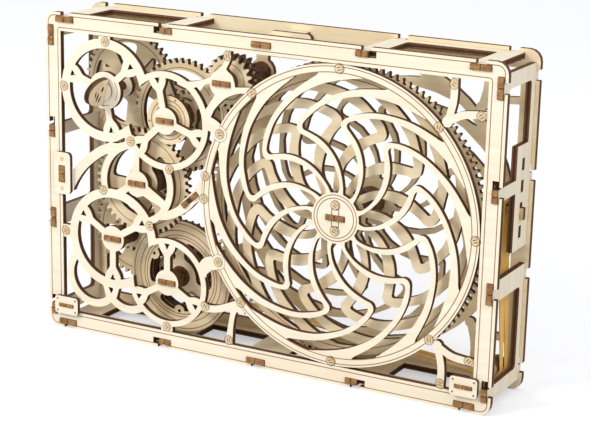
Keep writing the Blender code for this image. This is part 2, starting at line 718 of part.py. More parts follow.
def front_lattice():
    """The ring frames at the left that carry the front ends of the axles."""
    drawing = Drawing("front_lattice")
    a, b, c, d, g, h, k = AXLE_A, AXLE_B, AXLE_C, AXLE_D, AXLE_G, AXLE_H, AXLE_K
    left_lobe = (c[0] - 16.0, WIN_LOW + LOBE_HEIGHT)
    right_lobe = (c[0] + 13.0, WIN_LOW + LOBE_HEIGHT)
    drawing.add(disc(left_lobe, LOBE_RADIUS), disc(right_lobe, LOBE_RADIUS))
    drawing.cut(disc(left_lobe, LOBE_OPEN), disc(right_lobe, LOBE_OPEN))
    web = (left_lobe[0] + right_lobe[0]) / 2
    foot = WIN_LOW + WEB_FOOT
    drawing.add([(web - 9, foot + 18), (web - 3.6, foot), (web + 3.6, foot), (web + 9, foot + 18)])
    drawing.cut([(web - 3.8, foot + 12.4), (web, foot + 5.4), (web + 3.8, foot + 12.4)])
    drawing.add(beside(b, B_SWEEP))
    b_ring(drawing)
    g_star(drawing)
    for axle, edge in ((a, A_RIGHT_ARM), (b, B_FAN), (d, D_UPPER_ARM), (d, D_LOWER_ARM)):
        drawing.add(beside(axle, edge))
    leg_left, leg_right = beside(d, D_LEG_LEFT), beside(d, D_LEG_RIGHT)
    drawing.add([(leg_left[0][0], WIN_LOW)] + leg_left + leg_right + [(leg_right[-1][0], WIN_LOW)])
    drawing.add(disc(a, LATTICE_RING), disc(k, KNOB_RING), disc(c, LATTICE_RING), disc(d, DRUM_RING))
    drawing.cut(disc(a, LATTICE_OPEN), disc(k, KNOB_OPEN), disc(c, LATTICE_OPEN), disc(d, DRUM_OPEN))
    drawing.cut(beside(b, B_SWEEP_SLIT))
    drawing.add(disc(beside(b, [B_RIVET])[0], RIVET_PAD))
    ring_spokes(drawing, a, LATTICE_OPEN, (102, 342, 223))
    ring_spokes(drawing, k, KNOB_OPEN, (41, 161, 281))
    ring_spokes(drawing, c, LATTICE_OPEN, (31, 149, 270))
    ring_spokes(drawing, d, DRUM_OPEN, (90, 210, 330))
    # tabs that butt against the panel's window
    tab = TAB_WIDTH / 2
    drawing.add(box(k[0] - tab, k[1] + KNOB_OPEN + 2, k[0] + tab, WIN_TOP))
    drawing.add(box(WIN_LEFT, k[1] - tab, k[0] - KNOB_OPEN - 2, k[1] + tab))
    drawing.add(box(WIN_LEFT, c[1] - tab, c[0] - LATTICE_OPEN - 2, c[1] + tab))
    drawing.add(box(d[0] - tab, WIN_LOW, d[0] + tab, d[1] - DRUM_OPEN - 2))
    for axle in (a, b, c, d, g):
        drawing.add(disc(axle, HUB_PAD))
    drawing.add(disc(k, KNOB_PAD))
    # clear of its neighbours
    drawing.cut(disc(h, RING_OUT + SEAT_GAP))
    drawing.add(*[disc(place, LUG_RADIUS) for place in LUG_PLACES])
    drawing.cut(*outside_window(SEAT_GAP))
    drawing.cut(box(WIN_LEFT - 2, b[1] - SIDE_BRACKET_HALF - SEAT_GAP, SIDE_BRACKET_RIGHT + SEAT_GAP,
                    b[1] + SIDE_BRACKET_HALF + SEAT_GAP))
    drawing.cut(box(WIN_LEFT - 2, WIN_LOW - 2, BRACKET_RIGHT + SEAT_GAP, BRACKET_HIGH + SEAT_GAP))
    for axle in (a, b, c, d, g):
        drawing.cut(tenon_slot(axle))
    drawing.cut(disc(k, KNOB_SHAFT + SEAT_GAP))
    plate(drawing, 0)


def outside_window(gap):
    """Four loops that cover everything outside the front panel's window, less a gap."""
    x0, z0, x1, z1 = WIN_LEFT + gap, WIN_LOW + gap, WIN_RIGHT - gap, WIN_TOP - gap
    far = 60
    return [box(x0 - far, z0 - far, x0, z1 + far), box(x1, z0 - far, x1 + far, z1 + far),
            box(x0 - far, z0 - far, x1 + far, z0), box(x0 - far, z1, x1 + far, z1 + far)]


def front_grille():
    """The fixed ring, its hooked arms and its hub, all one plate in the front panel's plane."""
    drawing = Drawing("front_grille").add(disc(AXLE_H, RING_OUT)).cut(disc(AXLE_H, RING_IN))
    drawing.add(*spiral_arms(AXLE_H, GRILLE_ARM), disc(AXLE_H, GRILLE_HUB))
    drawing.cut(*[disc(place, LUG_RADIUS + SEAT_GAP) for place in LUG_PLACES])
    drawing.cut(tenon_slot(AXLE_H))
    plate(drawing, 0)


# Middle lines of a corner strut, from the window's corner, for the upper one
STRUT_UPRIGHT = [(-26.0, -28.0), (-24.3, -22.5), (-22.8, -16.0), (-22.3, -9.0), (-22.5, 1.0)]
STRUT_LEVEL = [(-26.0, -28.0), (-18.0, -23.6), (-11.8, -22.0), (1.0, -21.0)]
STRUT_WIDTH = 4.8


def strut_arms(side):
    """A strut's two arms between the ring and the frame's corner; side is +1 above, -1 below."""
    corner = (WIN_RIGHT, WIN_TOP if side > 0 else WIN_LOW)
    arms = []
    for line in (STRUT_UPRIGHT, STRUT_LEVEL):
        arms.append(band(smooth(beside(corner, [(x, side * z) for x, z in line])), STRUT_WIDTH))
    foot = beside(corner, [(STRUT_LEVEL[0][0], side * STRUT_LEVEL[0][1])])[0]
    return arms + [disc(foot, STRUT_WIDTH * 0.75)]


def corner_strut(name, side):
    drawing = Drawing(name).add(*strut_arms(side))
    drawing.cut(disc(AXLE_H, RING_OUT + SEAT_GAP), *outside_window(SEAT_GAP))
    if side < 0:
        drawing.cut(box(WIN_RIGHT - 16.5, WIN_LOW - 2, WIN_RIGHT + 2, BRACKET_HIGH + SEAT_GAP))
    plate(drawing, 0)


BRACKET_RIGHT = 25.0
BRACKET_LEFT = 5.5
BRACKET_HIGH = 23.6
BRACKET_LOW = 10.6
BRACKET_THICK = 3.0
SIDE_BRACKET_RIGHT = WIN_LEFT + 9.0
SIDE_BRACKET_HALF = 15.0


def bracket_plates():
    """Three small plates on the front face, each with a tenon slot."""
    specs = (("corner_bracket_left", BRACKET_LEFT, BRACKET_RIGHT),
             ("corner_bracket_right", WIN_RIGHT - 14.8, WIN_RIGHT + 4.2))
    for name, x0, x1 in specs:
        drawing = Drawing(name).add(round_box(x0, BRACKET_LOW, x1, BRACKET_HIGH, 2.0))
        middle = ((x0 + x1) / 2, (BRACKET_LOW + BRACKET_HIGH) / 2)
        drawing.cut(turned_box(middle, TENON_LENGTH - 1, 2.6))
        plate(drawing, -BRACKET_THICK - SEAT_GAP, thickness=BRACKET_THICK)
    drawing = Drawing("side_bracket_left")
    b = AXLE_B
    drawing.add(round_box(WIN_LEFT - 4.5, b[1] - SIDE_BRACKET_HALF, SIDE_BRACKET_RIGHT,
                          b[1] + SIDE_BRACKET_HALF, 3.0))
    drawing.cut(box(WIN_LEFT - 0.6, b[1] - 6.6, WIN_LEFT + 4.6, b[1] + 5.6))
    plate(drawing, -BRACKET_THICK - SEAT_GAP, thickness=BRACKET_THICK)


# Spiral arms: the two edges of one arm, from the hub out, as radius and angle about the axle

GRILLE_ARM = (
    [(14, -19), (17, -17.5), (21, -14), (26, -9.6), (34, -3.2), (42, 3.7), (50, 11.4), (57, 19.6),
     (60, 23.2), (62, 24.2), (64, 23.6), (66, 21.2), (70, 14.7), (76, 4.5), (82, -8.1), (86, -17.9),
     (90, -29.1), (93, -36.6), (95, -40.1), (98, -41)],
    [(14, -2), (17, -3.5), (19, -6.9), (23, -6.1), (30, -1.1), (38, 6.1), (46, 13.4), (54, 21.7),
     (59, 26.9), (61, 27.9), (63, 27.9), (65, 26.9), (70, 21.1), (76, 11.2), (82, 0.3), (86, -6.8),
     (90, -14.5), (93, -19.3), (95, -20.9), (98, -20)])
WHEEL_ARM = (
    [(14, 37), (19, 33), (24.3, 31.5), (31.2, 29.1), (37.5, 22.6), (43.6, 16.5), (49.4, 11.6),
     (55, 6.6), (57.4, 3.8), (59.6, 2), (62.3, 1.5), (64.8, 2.1), (69.1, 5.9), (74.6, 15),
     (79.1, 21.2), (82.5, 30.1), (86.6, 39.5), (88.7, 42), (92, 43)],
    [(14, 55), (20, 49), (27.3, 42.6), (34.6, 36.2), (41.9, 30.1), (47.7, 24.6), (53.3, 18.1),
     (58.5, 11.6), (60.9, 9.1), (62.2, 7.9), (63.6, 8.3), (65.1, 10.7), (70.8, 18.9), (75.3, 28.2),
     (80, 40), (84.6, 49.8), (88.7, 60), (92, 63)])


def spiral_arms(centre, edges):
    """Loops of the hooked arms about an axle, from the two edges of one of them."""
    one, other = edges
    line = [polar(radius, angle) for radius, angle in one + other[::-1]]
    return [spun(line, centre, i * 360 / ARM_COUNT) for i in range(ARM_COUNT)]


def spiral_wheel():
    """The one large wheel that turns: a rim with arms that curl against the grilles' arms."""
    drawing = Drawing("spiral_wheel").add(disc(AXLE_H, WHEEL_RIM_OUT)).cut(disc(AXLE_H, WHEEL_RIM_IN))
    drawing.add(*spiral_arms(AXLE_H, WHEEL_ARM), disc(AXLE_H, WHEEL_HUB))
    drawing.cut(disc(AXLE_H, AXLE_RADIUS + SEAT_GAP))
    plate(drawing, layer(2), axis=AXLE_H)


def toothed_ring(phase):
    drawing = Drawing("toothed_ring")
    drawing.add(gear_loop(AXLE_H, WHEEL_TEETH, phase)).cut(disc(AXLE_H, TOOTHED_RING_IN))
    plate(drawing, layer(2) + SHEET + SEAT_GAP, axis=AXLE_H)


def toothed_wheel(name, axle, teeth, phase, index, windows=0, rim=5.0, hub=12.0, thickness=SHEET,
                  pin=AXLE_RADIUS, back=0.0):
    """A toothed wheel on an axle, with openings between its spokes; back sets it deeper."""
    drawing = Drawing(name)
    drawing.add(gear_loop(axle, teeth, phase))
    if windows:
        drawing.cut(disc(axle, pitch_radius(teeth) - ROOT_RATIO * MODULE - rim))
        drawing.add(disc(axle, hub))
        for i in range(windows):
            drawing.add(band([axle, polar(pitch_radius(teeth) - 4, phase + i * 360 / windows, axle)], 8, 9))
    drawing.cut(disc(axle, pin + SEAT_GAP))
    plate(drawing, layer(index) + back, axis=axle, thickness=thickness)


def spacer(name, axle, radius, start, end, material=WARM_PLY):
    """A ring on an axle that fills the depth between two sheets of one turning stack."""
    drawing = Drawing(name).add(disc(axle, radius)).cut(disc(axle, AXLE_RADIUS + SEAT_GAP))
    plate(drawing, start + SEAT_GAP, material, end - start - 2 * SEAT_GAP, axis=axle)


def drum_sheet(name, outline):
    """One sheet of the drum: its outline with three long windows and the axle's hole."""
    d = AXLE_D
    sheet = Drawing(name).add(outline)
    for turn in DRUM_WINDOW_STARTS:
        far = turn + DRUM_WINDOW_SPAN
        sheet.cut(arc(d, DRUM_WINDOW_OUT, turn, far) + arc(d, DRUM_WINDOW_IN, far, turn))
        sheet.add(disc(polar(DRUM_WINDOW_OUT, (turn + far) / 2 - DRUM_LUG, d), DRUM_LUG))
    return sheet.cut(disc(d, AXLE_RADIUS + SEAT_GAP))


def drum(gear_phase):
    """The winding drum: three sheets with the same windows, a core and a rear flange."""
    d = AXLE_D
    stack_back = layer(5) + 2 * SHEET + SEAT_GAP
    plate(drum_sheet("drum_front_flange", disc(d, FLANGE_RADIUS)), layer(4), axis=d)
    plate(drum_sheet("drum_gear", gear_loop(d, LARGE_D, gear_phase)), layer(5), axis=d)
    plate(drum_sheet("drum_stack", disc(d, DRUM_STACK)), layer(5) + SHEET + SEAT_GAP, BURNT_EDGE, axis=d)
    spacer("drum_core", d, DRUM_CORE, stack_back, layer(9), BURNT_EDGE)
    rear = Drawing("drum_rear_flange").add(disc(d, REAR_FLANGE)).cut(disc(d, AXLE_RADIUS + SEAT_GAP))
    plate(rear, layer(9), axis=d)


def fixed_axles():
    """Round pillars between the panels, with a flat tenon at each end."""
    for name, axle in (("main_axle", AXLE_H), ("axle_a", AXLE_A), ("axle_b", AXLE_B),
                       ("axle_c", AXLE_C), ("axle_d", AXLE_D), ("axle_g", AXLE_G)):
        tenon = turned_box(axle, TENON_LENGTH, TENON_HEIGHT)
        front, back = SHEET, PANEL_DEPTH - SEAT_GAP
        stepped(name, [(tenon, 0, front), (disc(axle, AXLE_RADIUS, AXLE_SAG), front, back),
                       (tenon, back, PANEL_DEPTH + SHEET)], BURNT_EDGE, axle)


COVER_BACK = COVER_THICK + SEAT_GAP


def sleeves():
    """Rings that keep the wheels of one axle apart and join them."""
    spacer("hub_washer", AXLE_H, SLEEVE_RADIUS, SHEET, layer(2))
    spacer("hub_sleeve", AXLE_H, SLEEVE_RADIUS, layer(2) + SHEET, PANEL_DEPTH)
    cover = Drawing("cover_a").add(disc(AXLE_A, COVER_RADIUS)).cut(disc(AXLE_A, AXLE_RADIUS + SEAT_GAP))
    plate(cover, layer(1), WARM_PLY, COVER_THICK, axis=AXLE_A)
    for name, axle, first, last, back in (("sleeve_a_front", AXLE_A, 1, 5, COVER_BACK),
                                          ("sleeve_a_rear", AXLE_A, 5, 7, 0.0),
                                          ("sleeve_b", AXLE_B, 1, 7, COVER_BACK),
                                          ("sleeve_c", AXLE_C, 5, 7, 0.0)):
        spacer(name, axle, SLEEVE_RADIUS, layer(first) + SHEET + back, layer(last))


def rivets():
    """Rivet heads on the front grille's hub and rim."""
    h = AXLE_H
    lug = RING_OUT - LUG_INSET
    for name, place in (("rivet_hub_upper", polar(HUB_RIVET, 90, h)),
                        ("rivet_hub_lower", polar(HUB_RIVET, 270, h)),
                        ("rivet_ring_top", polar(lug, 90, h)), ("rivet_ring_right", polar(lug, 0, h)),
                        ("rivet_ring_bottom", polar(lug, 270, h))):
        drawing = Drawing(name).add(disc(place, RIVET_RADIUS))
        plate(drawing, -RIVET_RISE - SEAT_GAP, thickness=RIVET_RISE)


def start_knob():
    """The knob's dial, its shaft and the brake arm that turns towards a toothed wheel."""
    k = AXLE_K
    plate(Drawing("knob_disc").add(disc(k, KNOB_RADIUS)), -KNOB_THICK - SEAT_GAP,
          thickness=KNOB_THICK, axis=k)
    shaft = disc(k, KNOB_SHAFT)
    plate(Drawing("knob_shaft").add(shaft), 0.0, BURNT_EDGE, PANEL_DEPTH + SHEET, axis=k)
    arm = Drawing("brake_arm").add(disc(k, KNOB_SHAFT + 5.0))
    arm.add(band([k, polar(BRAKE_REACH, BRAKE_TURN, k)], 2 * KNOB_SHAFT + 6, 5.0))
    arm.cut(disc(k, KNOB_SHAFT + SEAT_GAP))
    plate(arm, layer(5), axis=k)


def knob_grip():
    """An upright half-round plate that stands out of the dial, with notches and three slots."""
    k = AXLE_K
    back = GRIP_BACK
    half = GRIP_WIDTH / 2
    rim = [(back - GRIP_REACH * math.sin(math.radians(t)) ** 0.8, half * math.cos(math.radians(t)))
           for t in range(15, 180, 15)]
    drawing = Drawing("knob_grip").add([(back, -half), (back, half)] + rim)
    for depth, height, length in GRIP_SLOTS:
        drawing.cut(turned_box((back - depth, height), GRIP_SLOT, length))
    places, triangles = drawing.outline()
    tilt = math.radians(GRIP_TILT)
    verts = [row_place(k[0] + w * math.cos(tilt) + up * math.sin(tilt), depth,
                       k[1] - w * math.sin(tilt) + up * math.cos(tilt))
             for w in (-SHEET / 2, SHEET / 2) for depth, up in places]
    linked("knob_grip", verts, prism(places, triangles, True), PALE_PLY, k)


def tube(name, route, radius, material):
    """A band along a closed or open route, as a curve with filled ends."""
    curve = bpy.data.curves.new(name, "CURVE")
    curve.dimensions = "3D"
    curve.bevel_depth = radius * MM
    curve.bevel_resolution = 1
    curve.use_fill_caps = True
    line = curve.splines.new("POLY")
    line.points.add(len(route) - 1)
    for point, place in zip(line.points, route):
        point.co = (*row_place(*place), 1)
    curve.materials.append(material)
    made = bpy.data.objects.new(name, curve)
    bpy.context.scene.collection.objects.link(made)


def band_parts():
    """The flat peg, the corner roller and the rubber band whose two strands pull on the drum."""
    inner, face = SLOT_RIGHT - SHEET / 2, SLOT_RIGHT + SHEET / 2 + SEAT_GAP
    low = TONGUE_SLOTS[PEG_SLOT] - TONGUE_SLOT_LENGTH / 2 + SEAT_GAP
    peg = Drawing("band_peg").add(box(inner - PEG_INSIDE, low, face + PEG_OUTSIDE, low + PEG_HEIGHT))
    peg.add(box(face, low - PEG_DROP, face + PEG_OUTSIDE, low + PEG_HEIGHT))
    plate(peg, TONGUE_DEPTH - SHEET / 2, WARM_PLY)
    corner = ROLLER_PLACE
    plate(Drawing("roller_pin").add(disc(corner, ROLLER_PIN)), SHEET + SEAT_GAP, BURNT_EDGE,
          FRAME_DEPTH - 2 * SEAT_GAP)
    roller = Drawing("band_roller").add(disc(corner, ROLLER_RADIUS)).cut(disc(corner, ROLLER_PIN + SEAT_GAP))
    spread = SHEET / 2 + PEG_ROUND
    start = TONGUE_DEPTH - spread - ROLLER_MARGIN
    plate(roller, start, WARM_PLY, 2 * (spread + ROLLER_MARGIN), axis=corner)
    reach = ROLLER_RADIUS + BAND_RADIUS + SEAT_GAP
    wrap = DRUM_CORE + BAND_RADIUS + SEAT_GAP
    turn = arc(corner, reach, 0, -84, 0.4)
    winding = arc(AXLE_D, wrap, 264, 140, 0.5)
    run = [tuple(Vector(turn[-1]).lerp(Vector(winding[0]), t)) for t in (0.25, 0.5, 0.75)]
    drum_middle = (layer(7) + layer(9)) / 2
    route = []
    for side in (-1, 1):
        depth = TONGUE_DEPTH + side * spread
        strand = [(x, depth, z) for x, z in turn]
        for share, (px, pz) in zip((0.25, 0.5, 0.75, *[1.0] * len(winding)), run + winding):
            wound = drum_middle + side * spread / 2
            strand.append((px, depth + (wound - depth) * share, pz))
        route.append(strand)
    over = [(inner - PEG_INSIDE / 2, depth, height)
            for depth, height in arc((TONGUE_DEPTH, low + PEG_HEIGHT - PEG_TURN), spread, 180, 0, 0.3)]
    tube("rubber_band", route[0][::-1] + over + route[1], BAND_RADIUS, RUBBER)


front_panel()
rear_panel()
side_panel("left_side", SLOT_LEFT, False)
side_panel("right_side", SLOT_RIGHT, True)
top_frame("top_left_frame", 0, 1)
top_frame("top_right_frame", 3, 4)
cross_bar("top_middle_bar", 2, SLOT_TOP - MIDDLE_DROP)
bottom_panel()
inner_top_plate()
front_lattice()
front_grille()
corner_strut("upper_corner_strut", 1)
corner_strut("lower_corner_strut", -1)
bracket_plates()

phase_ring = 0.7
phase_g = partner_phase(AXLE_H, WHEEL_TEETH, phase_ring, AXLE_G, LARGE_G)
phase_small_g = 5.0
phase_large_a = partner_phase(AXLE_G, SMALL_G, phase_small_g, AXLE_A, LARGE_A)
phase_small_a = 3.0
phase_large_b = partner_phase(AXLE_A, SMALL_A, phase_small_a, AXLE_B, LARGE_B)
phase_small_b = 7.0
phase_large_c = partner_phase(AXLE_B, SMALL_B, phase_small_b, AXLE_C, LARGE_C)
phase_small_c = 4.0
phase_large_d = partner_phase(AXLE_C, SMALL_C, phase_small_c, AXLE_D, LARGE_D)
phase_large_k = partner_phase(AXLE_A, SMALL_A, phase_small_a, AXLE_K, LARGE_K)

spiral_wheel()
toothed_ring(phase_ring)
toothed_wheel("pinion_g_front", AXLE_G, LARGE_G, phase_g, 2, thickness=2 * SHEET + RUN_GAP)
toothed_wheel("pinion_g_rear", AXLE_G, SMALL_G, phase_small_g, 4, thickness=2 * SHEET + RUN_GAP)
toothed_wheel("gear_a", AXLE_A, LARGE_A, phase_large_a, 5, windows=4)
toothed_wheel("pinion_a_front", AXLE_A, SMALL_A, phase_small_a, 1, back=COVER_BACK)
toothed_wheel("pinion_a_rear", AXLE_A, SMALL_A, phase_small_a, 7)
toothed_wheel("gear_b", AXLE_B, LARGE_B, phase_large_b, 1, windows=3, rim=10, back=COVER_BACK)
toothed_wheel("pinion_b", AXLE_B, SMALL_B, phase_small_b, 7)
toothed_wheel("gear_c", AXLE_C, LARGE_C, phase_large_c, 7, windows=4)
toothed_wheel("pinion_c", AXLE_C, SMALL_C, phase_small_c, 5)
toothed_wheel("gear_k", AXLE_K, LARGE_K, phase_large_k, 7, windows=5, pin=KNOB_SHAFT)
drum(phase_large_d)
fixed_axles()
rivets()
start_knob()
knob_grip()
sleeves()
band_parts()
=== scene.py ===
# Looks of the wooden kinetic puzzle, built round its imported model.
# Drawing places are in millimetres, as on a cutter's sheet: x to the right, z up,
# depth from the front panel's face towards the rear panel.
import json
import math

import bpy
import numpy as np
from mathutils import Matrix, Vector
from mathutils.geometry import delaunay_2d_cdt


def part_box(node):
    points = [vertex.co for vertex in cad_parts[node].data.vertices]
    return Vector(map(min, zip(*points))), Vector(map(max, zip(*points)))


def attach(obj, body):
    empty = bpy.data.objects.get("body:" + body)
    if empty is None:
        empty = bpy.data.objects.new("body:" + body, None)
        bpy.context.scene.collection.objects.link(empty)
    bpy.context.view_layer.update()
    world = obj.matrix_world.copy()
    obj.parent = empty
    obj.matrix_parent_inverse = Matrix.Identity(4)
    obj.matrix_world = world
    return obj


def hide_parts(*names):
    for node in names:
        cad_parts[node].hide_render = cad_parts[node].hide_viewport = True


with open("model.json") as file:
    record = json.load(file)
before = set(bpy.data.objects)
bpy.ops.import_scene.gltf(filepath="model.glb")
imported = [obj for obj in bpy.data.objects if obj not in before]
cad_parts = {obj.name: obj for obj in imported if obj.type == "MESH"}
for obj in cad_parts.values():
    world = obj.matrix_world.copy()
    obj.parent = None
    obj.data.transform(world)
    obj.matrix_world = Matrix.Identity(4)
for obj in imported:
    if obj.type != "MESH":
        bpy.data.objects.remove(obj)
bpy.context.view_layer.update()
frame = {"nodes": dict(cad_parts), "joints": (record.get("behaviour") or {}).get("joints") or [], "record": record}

MM = 0.001

# The drawing's zero lies a little inside the front panel's lower left corner
PANEL_LEFT = -1.5
PANEL_LOW = -0.7
PANEL_WIDTH = 341.5
PANEL_HEIGHT = 227.5
PANEL_RIGHT = PANEL_LEFT + PANEL_WIDTH
PANEL_TOP = PANEL_LOW + PANEL_HEIGHT
BAR_SIDE = 12.5
BAR_TOP = 12.8
SHEET = 4.0
RUN_GAP = 0.4
SEAT_GAP = 0.3
WIN_LEFT = PANEL_LEFT + BAR_SIDE
WIN_RIGHT = PANEL_RIGHT - BAR_SIDE
WIN_LOW = PANEL_LOW + BAR_TOP
WIN_TOP = PANEL_TOP - BAR_TOP

panel_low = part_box("front_panel")[0]
ZERO = Vector((panel_low[0] - PANEL_LEFT * MM, panel_low[1], panel_low[2] - PANEL_LOW * MM))


def at(x, depth, z):
    """A drawing place as a place in the frame, in metres."""
    return ZERO + Vector((x, depth, z)) * MM


def drawn(place):
    """A place in the frame as a drawing place (x, depth, z), in millimetres."""
    return (Vector(place) - ZERO) / MM


JOINTS = {joint["name"]: joint for joint in frame["joints"]}


def axle(name):
    """The drawing place (x, z) of a joint's axis."""
    place = drawn(JOINTS[name]["pos_m"])
    return place.x, place.z


AXLE_H = axle("wheel_turn")
AXLE_G = axle("arbor_g_turn")
AXLE_A = axle("arbor_a_turn")
AXLE_B = axle("arbor_b_turn")
AXLE_C = axle("arbor_c_turn")
AXLE_D = axle("drum_turn")
AXLE_K = axle("arbor_k_turn")
ROLLER = axle("roller_turn")

# Camera

CAMERA_PLACE = (0.5411, -0.9811, 0.4118)
CAMERA_TURN = (74.37784, -1.29154, 28.42545)
CAMERA_LENS = 105.594


def camera():
    lens = bpy.data.cameras.new("camera")
    lens.lens = CAMERA_LENS
    lens.sensor_width = 36
    lens.clip_start = 0.01
    made = bpy.data.objects.new("camera", lens)
    made.location = CAMERA_PLACE
    made.rotation_euler = [math.radians(turn) for turn in CAMERA_TURN]
    bpy.context.scene.collection.objects.link(made)
    bpy.context.scene.camera = made


# Outlines

CURVE_SAG = 0.03


def polar(radius, degrees, centre=(0.0, 0.0)):
    turn = math.radians(degrees)
    return (centre[0] + radius * math.cos(turn), centre[1] + radius * math.sin(turn))


def arc(centre, radius, start, end, sag=CURVE_SAG):
    """Points on an arc, from start to end in degrees, as many as the curve needs."""
    step = 2 * math.acos(1 - sag / radius)
    count = max(2, math.ceil(abs(math.radians(end - start)) / step))
    return [polar(radius, start + (end - start) * i / count, centre) for i in range(count + 1)]


def disc(centre, radius, sag=CURVE_SAG):
    return arc(centre, radius, 0, 360, sag)[:-1]


def box(x0, z0, x1, z1):
    return [(x0, z0), (x1, z0), (x1, z1), (x0, z1)]


def turned_box(centre, length, height, degrees=0.0):
    along = Vector(polar(length / 2, degrees))
    across = Vector(polar(height / 2, degrees + 90))
    signs = ((-1, -1), (1, -1), (1, 1), (-1, 1))
    return [tuple(Vector(centre) + along * a + across * b) for a, b in signs]


def spot(place, offset):
    """A point given from a place, such as an axle, as a drawing place."""
    return place[0] + offset[0], place[1] + offset[1]


def beside(place, points):
    """Points given from a place, as drawing places."""
    return [spot(place, point) for point in points]


def spun(loop, centre, degrees):
    """Points given about an axle's own zero, turned and set on the axle."""
    turn = math.radians(degrees)
    c, s = math.cos(turn), math.sin(turn)
    return [(centre[0] + x * c - z * s, centre[1] + x * s + z * c) for x, z in loop]


def smooth(points, steps=5):
    """Points on a smooth curve through the given ones."""
    line = [Vector(p) for p in points]
    ends = [line[0] * 2 - line[1]] + line + [line[-1] * 2 - line[-2]]
    curve = []
    for i in range(1, len(ends) - 2):
        a, b, c, d = ends[i - 1:i + 3]
        for k in range(steps):
            t = k / steps
            curve.append(tuple(0.5 * (2 * b + (c - a) * t + (2 * a - 5 * b + 4 * c - d) * t ** 2
                                      + (3 * b - a - 3 * c + d) * t ** 3)))
    curve.append(tuple(line[-1]))
    return curve


def contains(loop, places):
    """Which places lie inside a loop."""
    inside = np.zeros(len(places), bool)
    x, z = places[:, 0], places[:, 1]
    for (x0, z0), (x1, z1) in zip(loop, loop[1:] + loop[:1]):
        if z0 == z1:
            continue
        crosses = (z0 > z) != (z1 > z)
        inside ^= crosses & (x < (x1 - x0) * (z - z0) / (z1 - z0) + x0)
    return inside


class Drawing:
    """A flat outline: loops are added and cut in order, and a later one wins."""

    def __init__(self, *loops):
        self.steps = [(True, loop) for loop in loops]

    def add(self, *loops):
        self.steps += [(True, loop) for loop in loops]
        return self

    def cut(self, *loops):
        self.steps += [(False, loop) for loop in loops]
        return self

    def outline(self):
        """Corner places and triangles of what is left."""
        points, edges = [], []
        for _, loop in self.steps:
            first = len(points)
            points += [Vector(p) for p in loop]
            edges += [(first + i, first + (i + 1) % len(loop)) for i in range(len(loop))]
        places, _, faces, *_ = delaunay_2d_cdt(points, edges, [], 0, 1e-4)
        places, faces = np.array([p[:] for p in places]), np.array(faces)
        middles = places[faces].mean(axis=1)
        kept = np.zeros(len(faces), bool)
        for added, loop in self.steps:
            kept[contains(loop, middles)] = added
        return places, faces[kept]


# Pieces

FACING = {
    "front": lambda u, v, w: at(u, w, v),
    "side": lambda u, v, w: at(w, u, v),
    "top": lambda u, v, w: at(u, v, w),
}


def piece(name, verts, faces, material, body, stands_for=()):
    """A piece of the looks, riding on a body and standing for the CAD nodes it replaces."""
    mesh = bpy.data.meshes.new(name)
    mesh.from_pydata(verts, [], faces)
    mesh.materials.append(material)
    made = bpy.data.objects.new(name, mesh)
    bpy.context.scene.collection.objects.link(made)
    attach(made, body)
    if stands_for:
        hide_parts(*stands_for)
    return made


def sheet_faces(triangles, count):
    """A sheet's two broad sides, and a wall along every edge of its outline."""
    edges = {(int(a), int(b)) for t in triangles for a, b in zip(t, np.roll(t, -1))}
    faces = []
    for a, b, c in triangles.tolist():
        faces += [(a, b, c), (count + c, count + b, count + a)]
    return faces + [(a, count + a, count + b, b) for a, b in sorted(edges) if (b, a) not in edges]


def plate(name, drawing, start, thickness, material, body="frame", stands_for=(), facing="front"):
    """A flat piece from its drawing; facing says which way its broad side looks."""
    places, triangles = drawing.outline()
    used, triangles = np.unique(triangles, return_inverse=True)
    triangles = triangles.reshape(-1, 3)
    places = places[used]
    faces = sheet_faces(triangles, len(places))
    if facing != "front":
        faces = [face[::-1] for face in faces]
    verts = [FACING[facing](u, v, w) for w in (start, start + thickness) for u, v in places]
    return piece(name, verts, faces, material, body, stands_for)


# Shader maths

class Wire:
    """A node's output that takes arithmetic; each operator adds its own Math node."""

    def __init__(self, net, socket):
        self.net = net
        self.socket = socket

    def __add__(self, other):
        return self.net.math("ADD", self, other)

    __radd__ = __add__

    def __sub__(self, other):
        return self.net.math("SUBTRACT", self, other)

    def __rsub__(self, other):
        return self.net.math("SUBTRACT", other, self)

    def __mul__(self, other):
        return self.net.math("MULTIPLY", self, other)

    __rmul__ = __mul__

    def __gt__(self, other):
        return self.net.math("GREATER_THAN", self, other)

    def __lt__(self, other):
        return self.net.math("LESS_THAN", self, other)

    def __abs__(self):
        return self.net.math("ABSOLUTE", self)


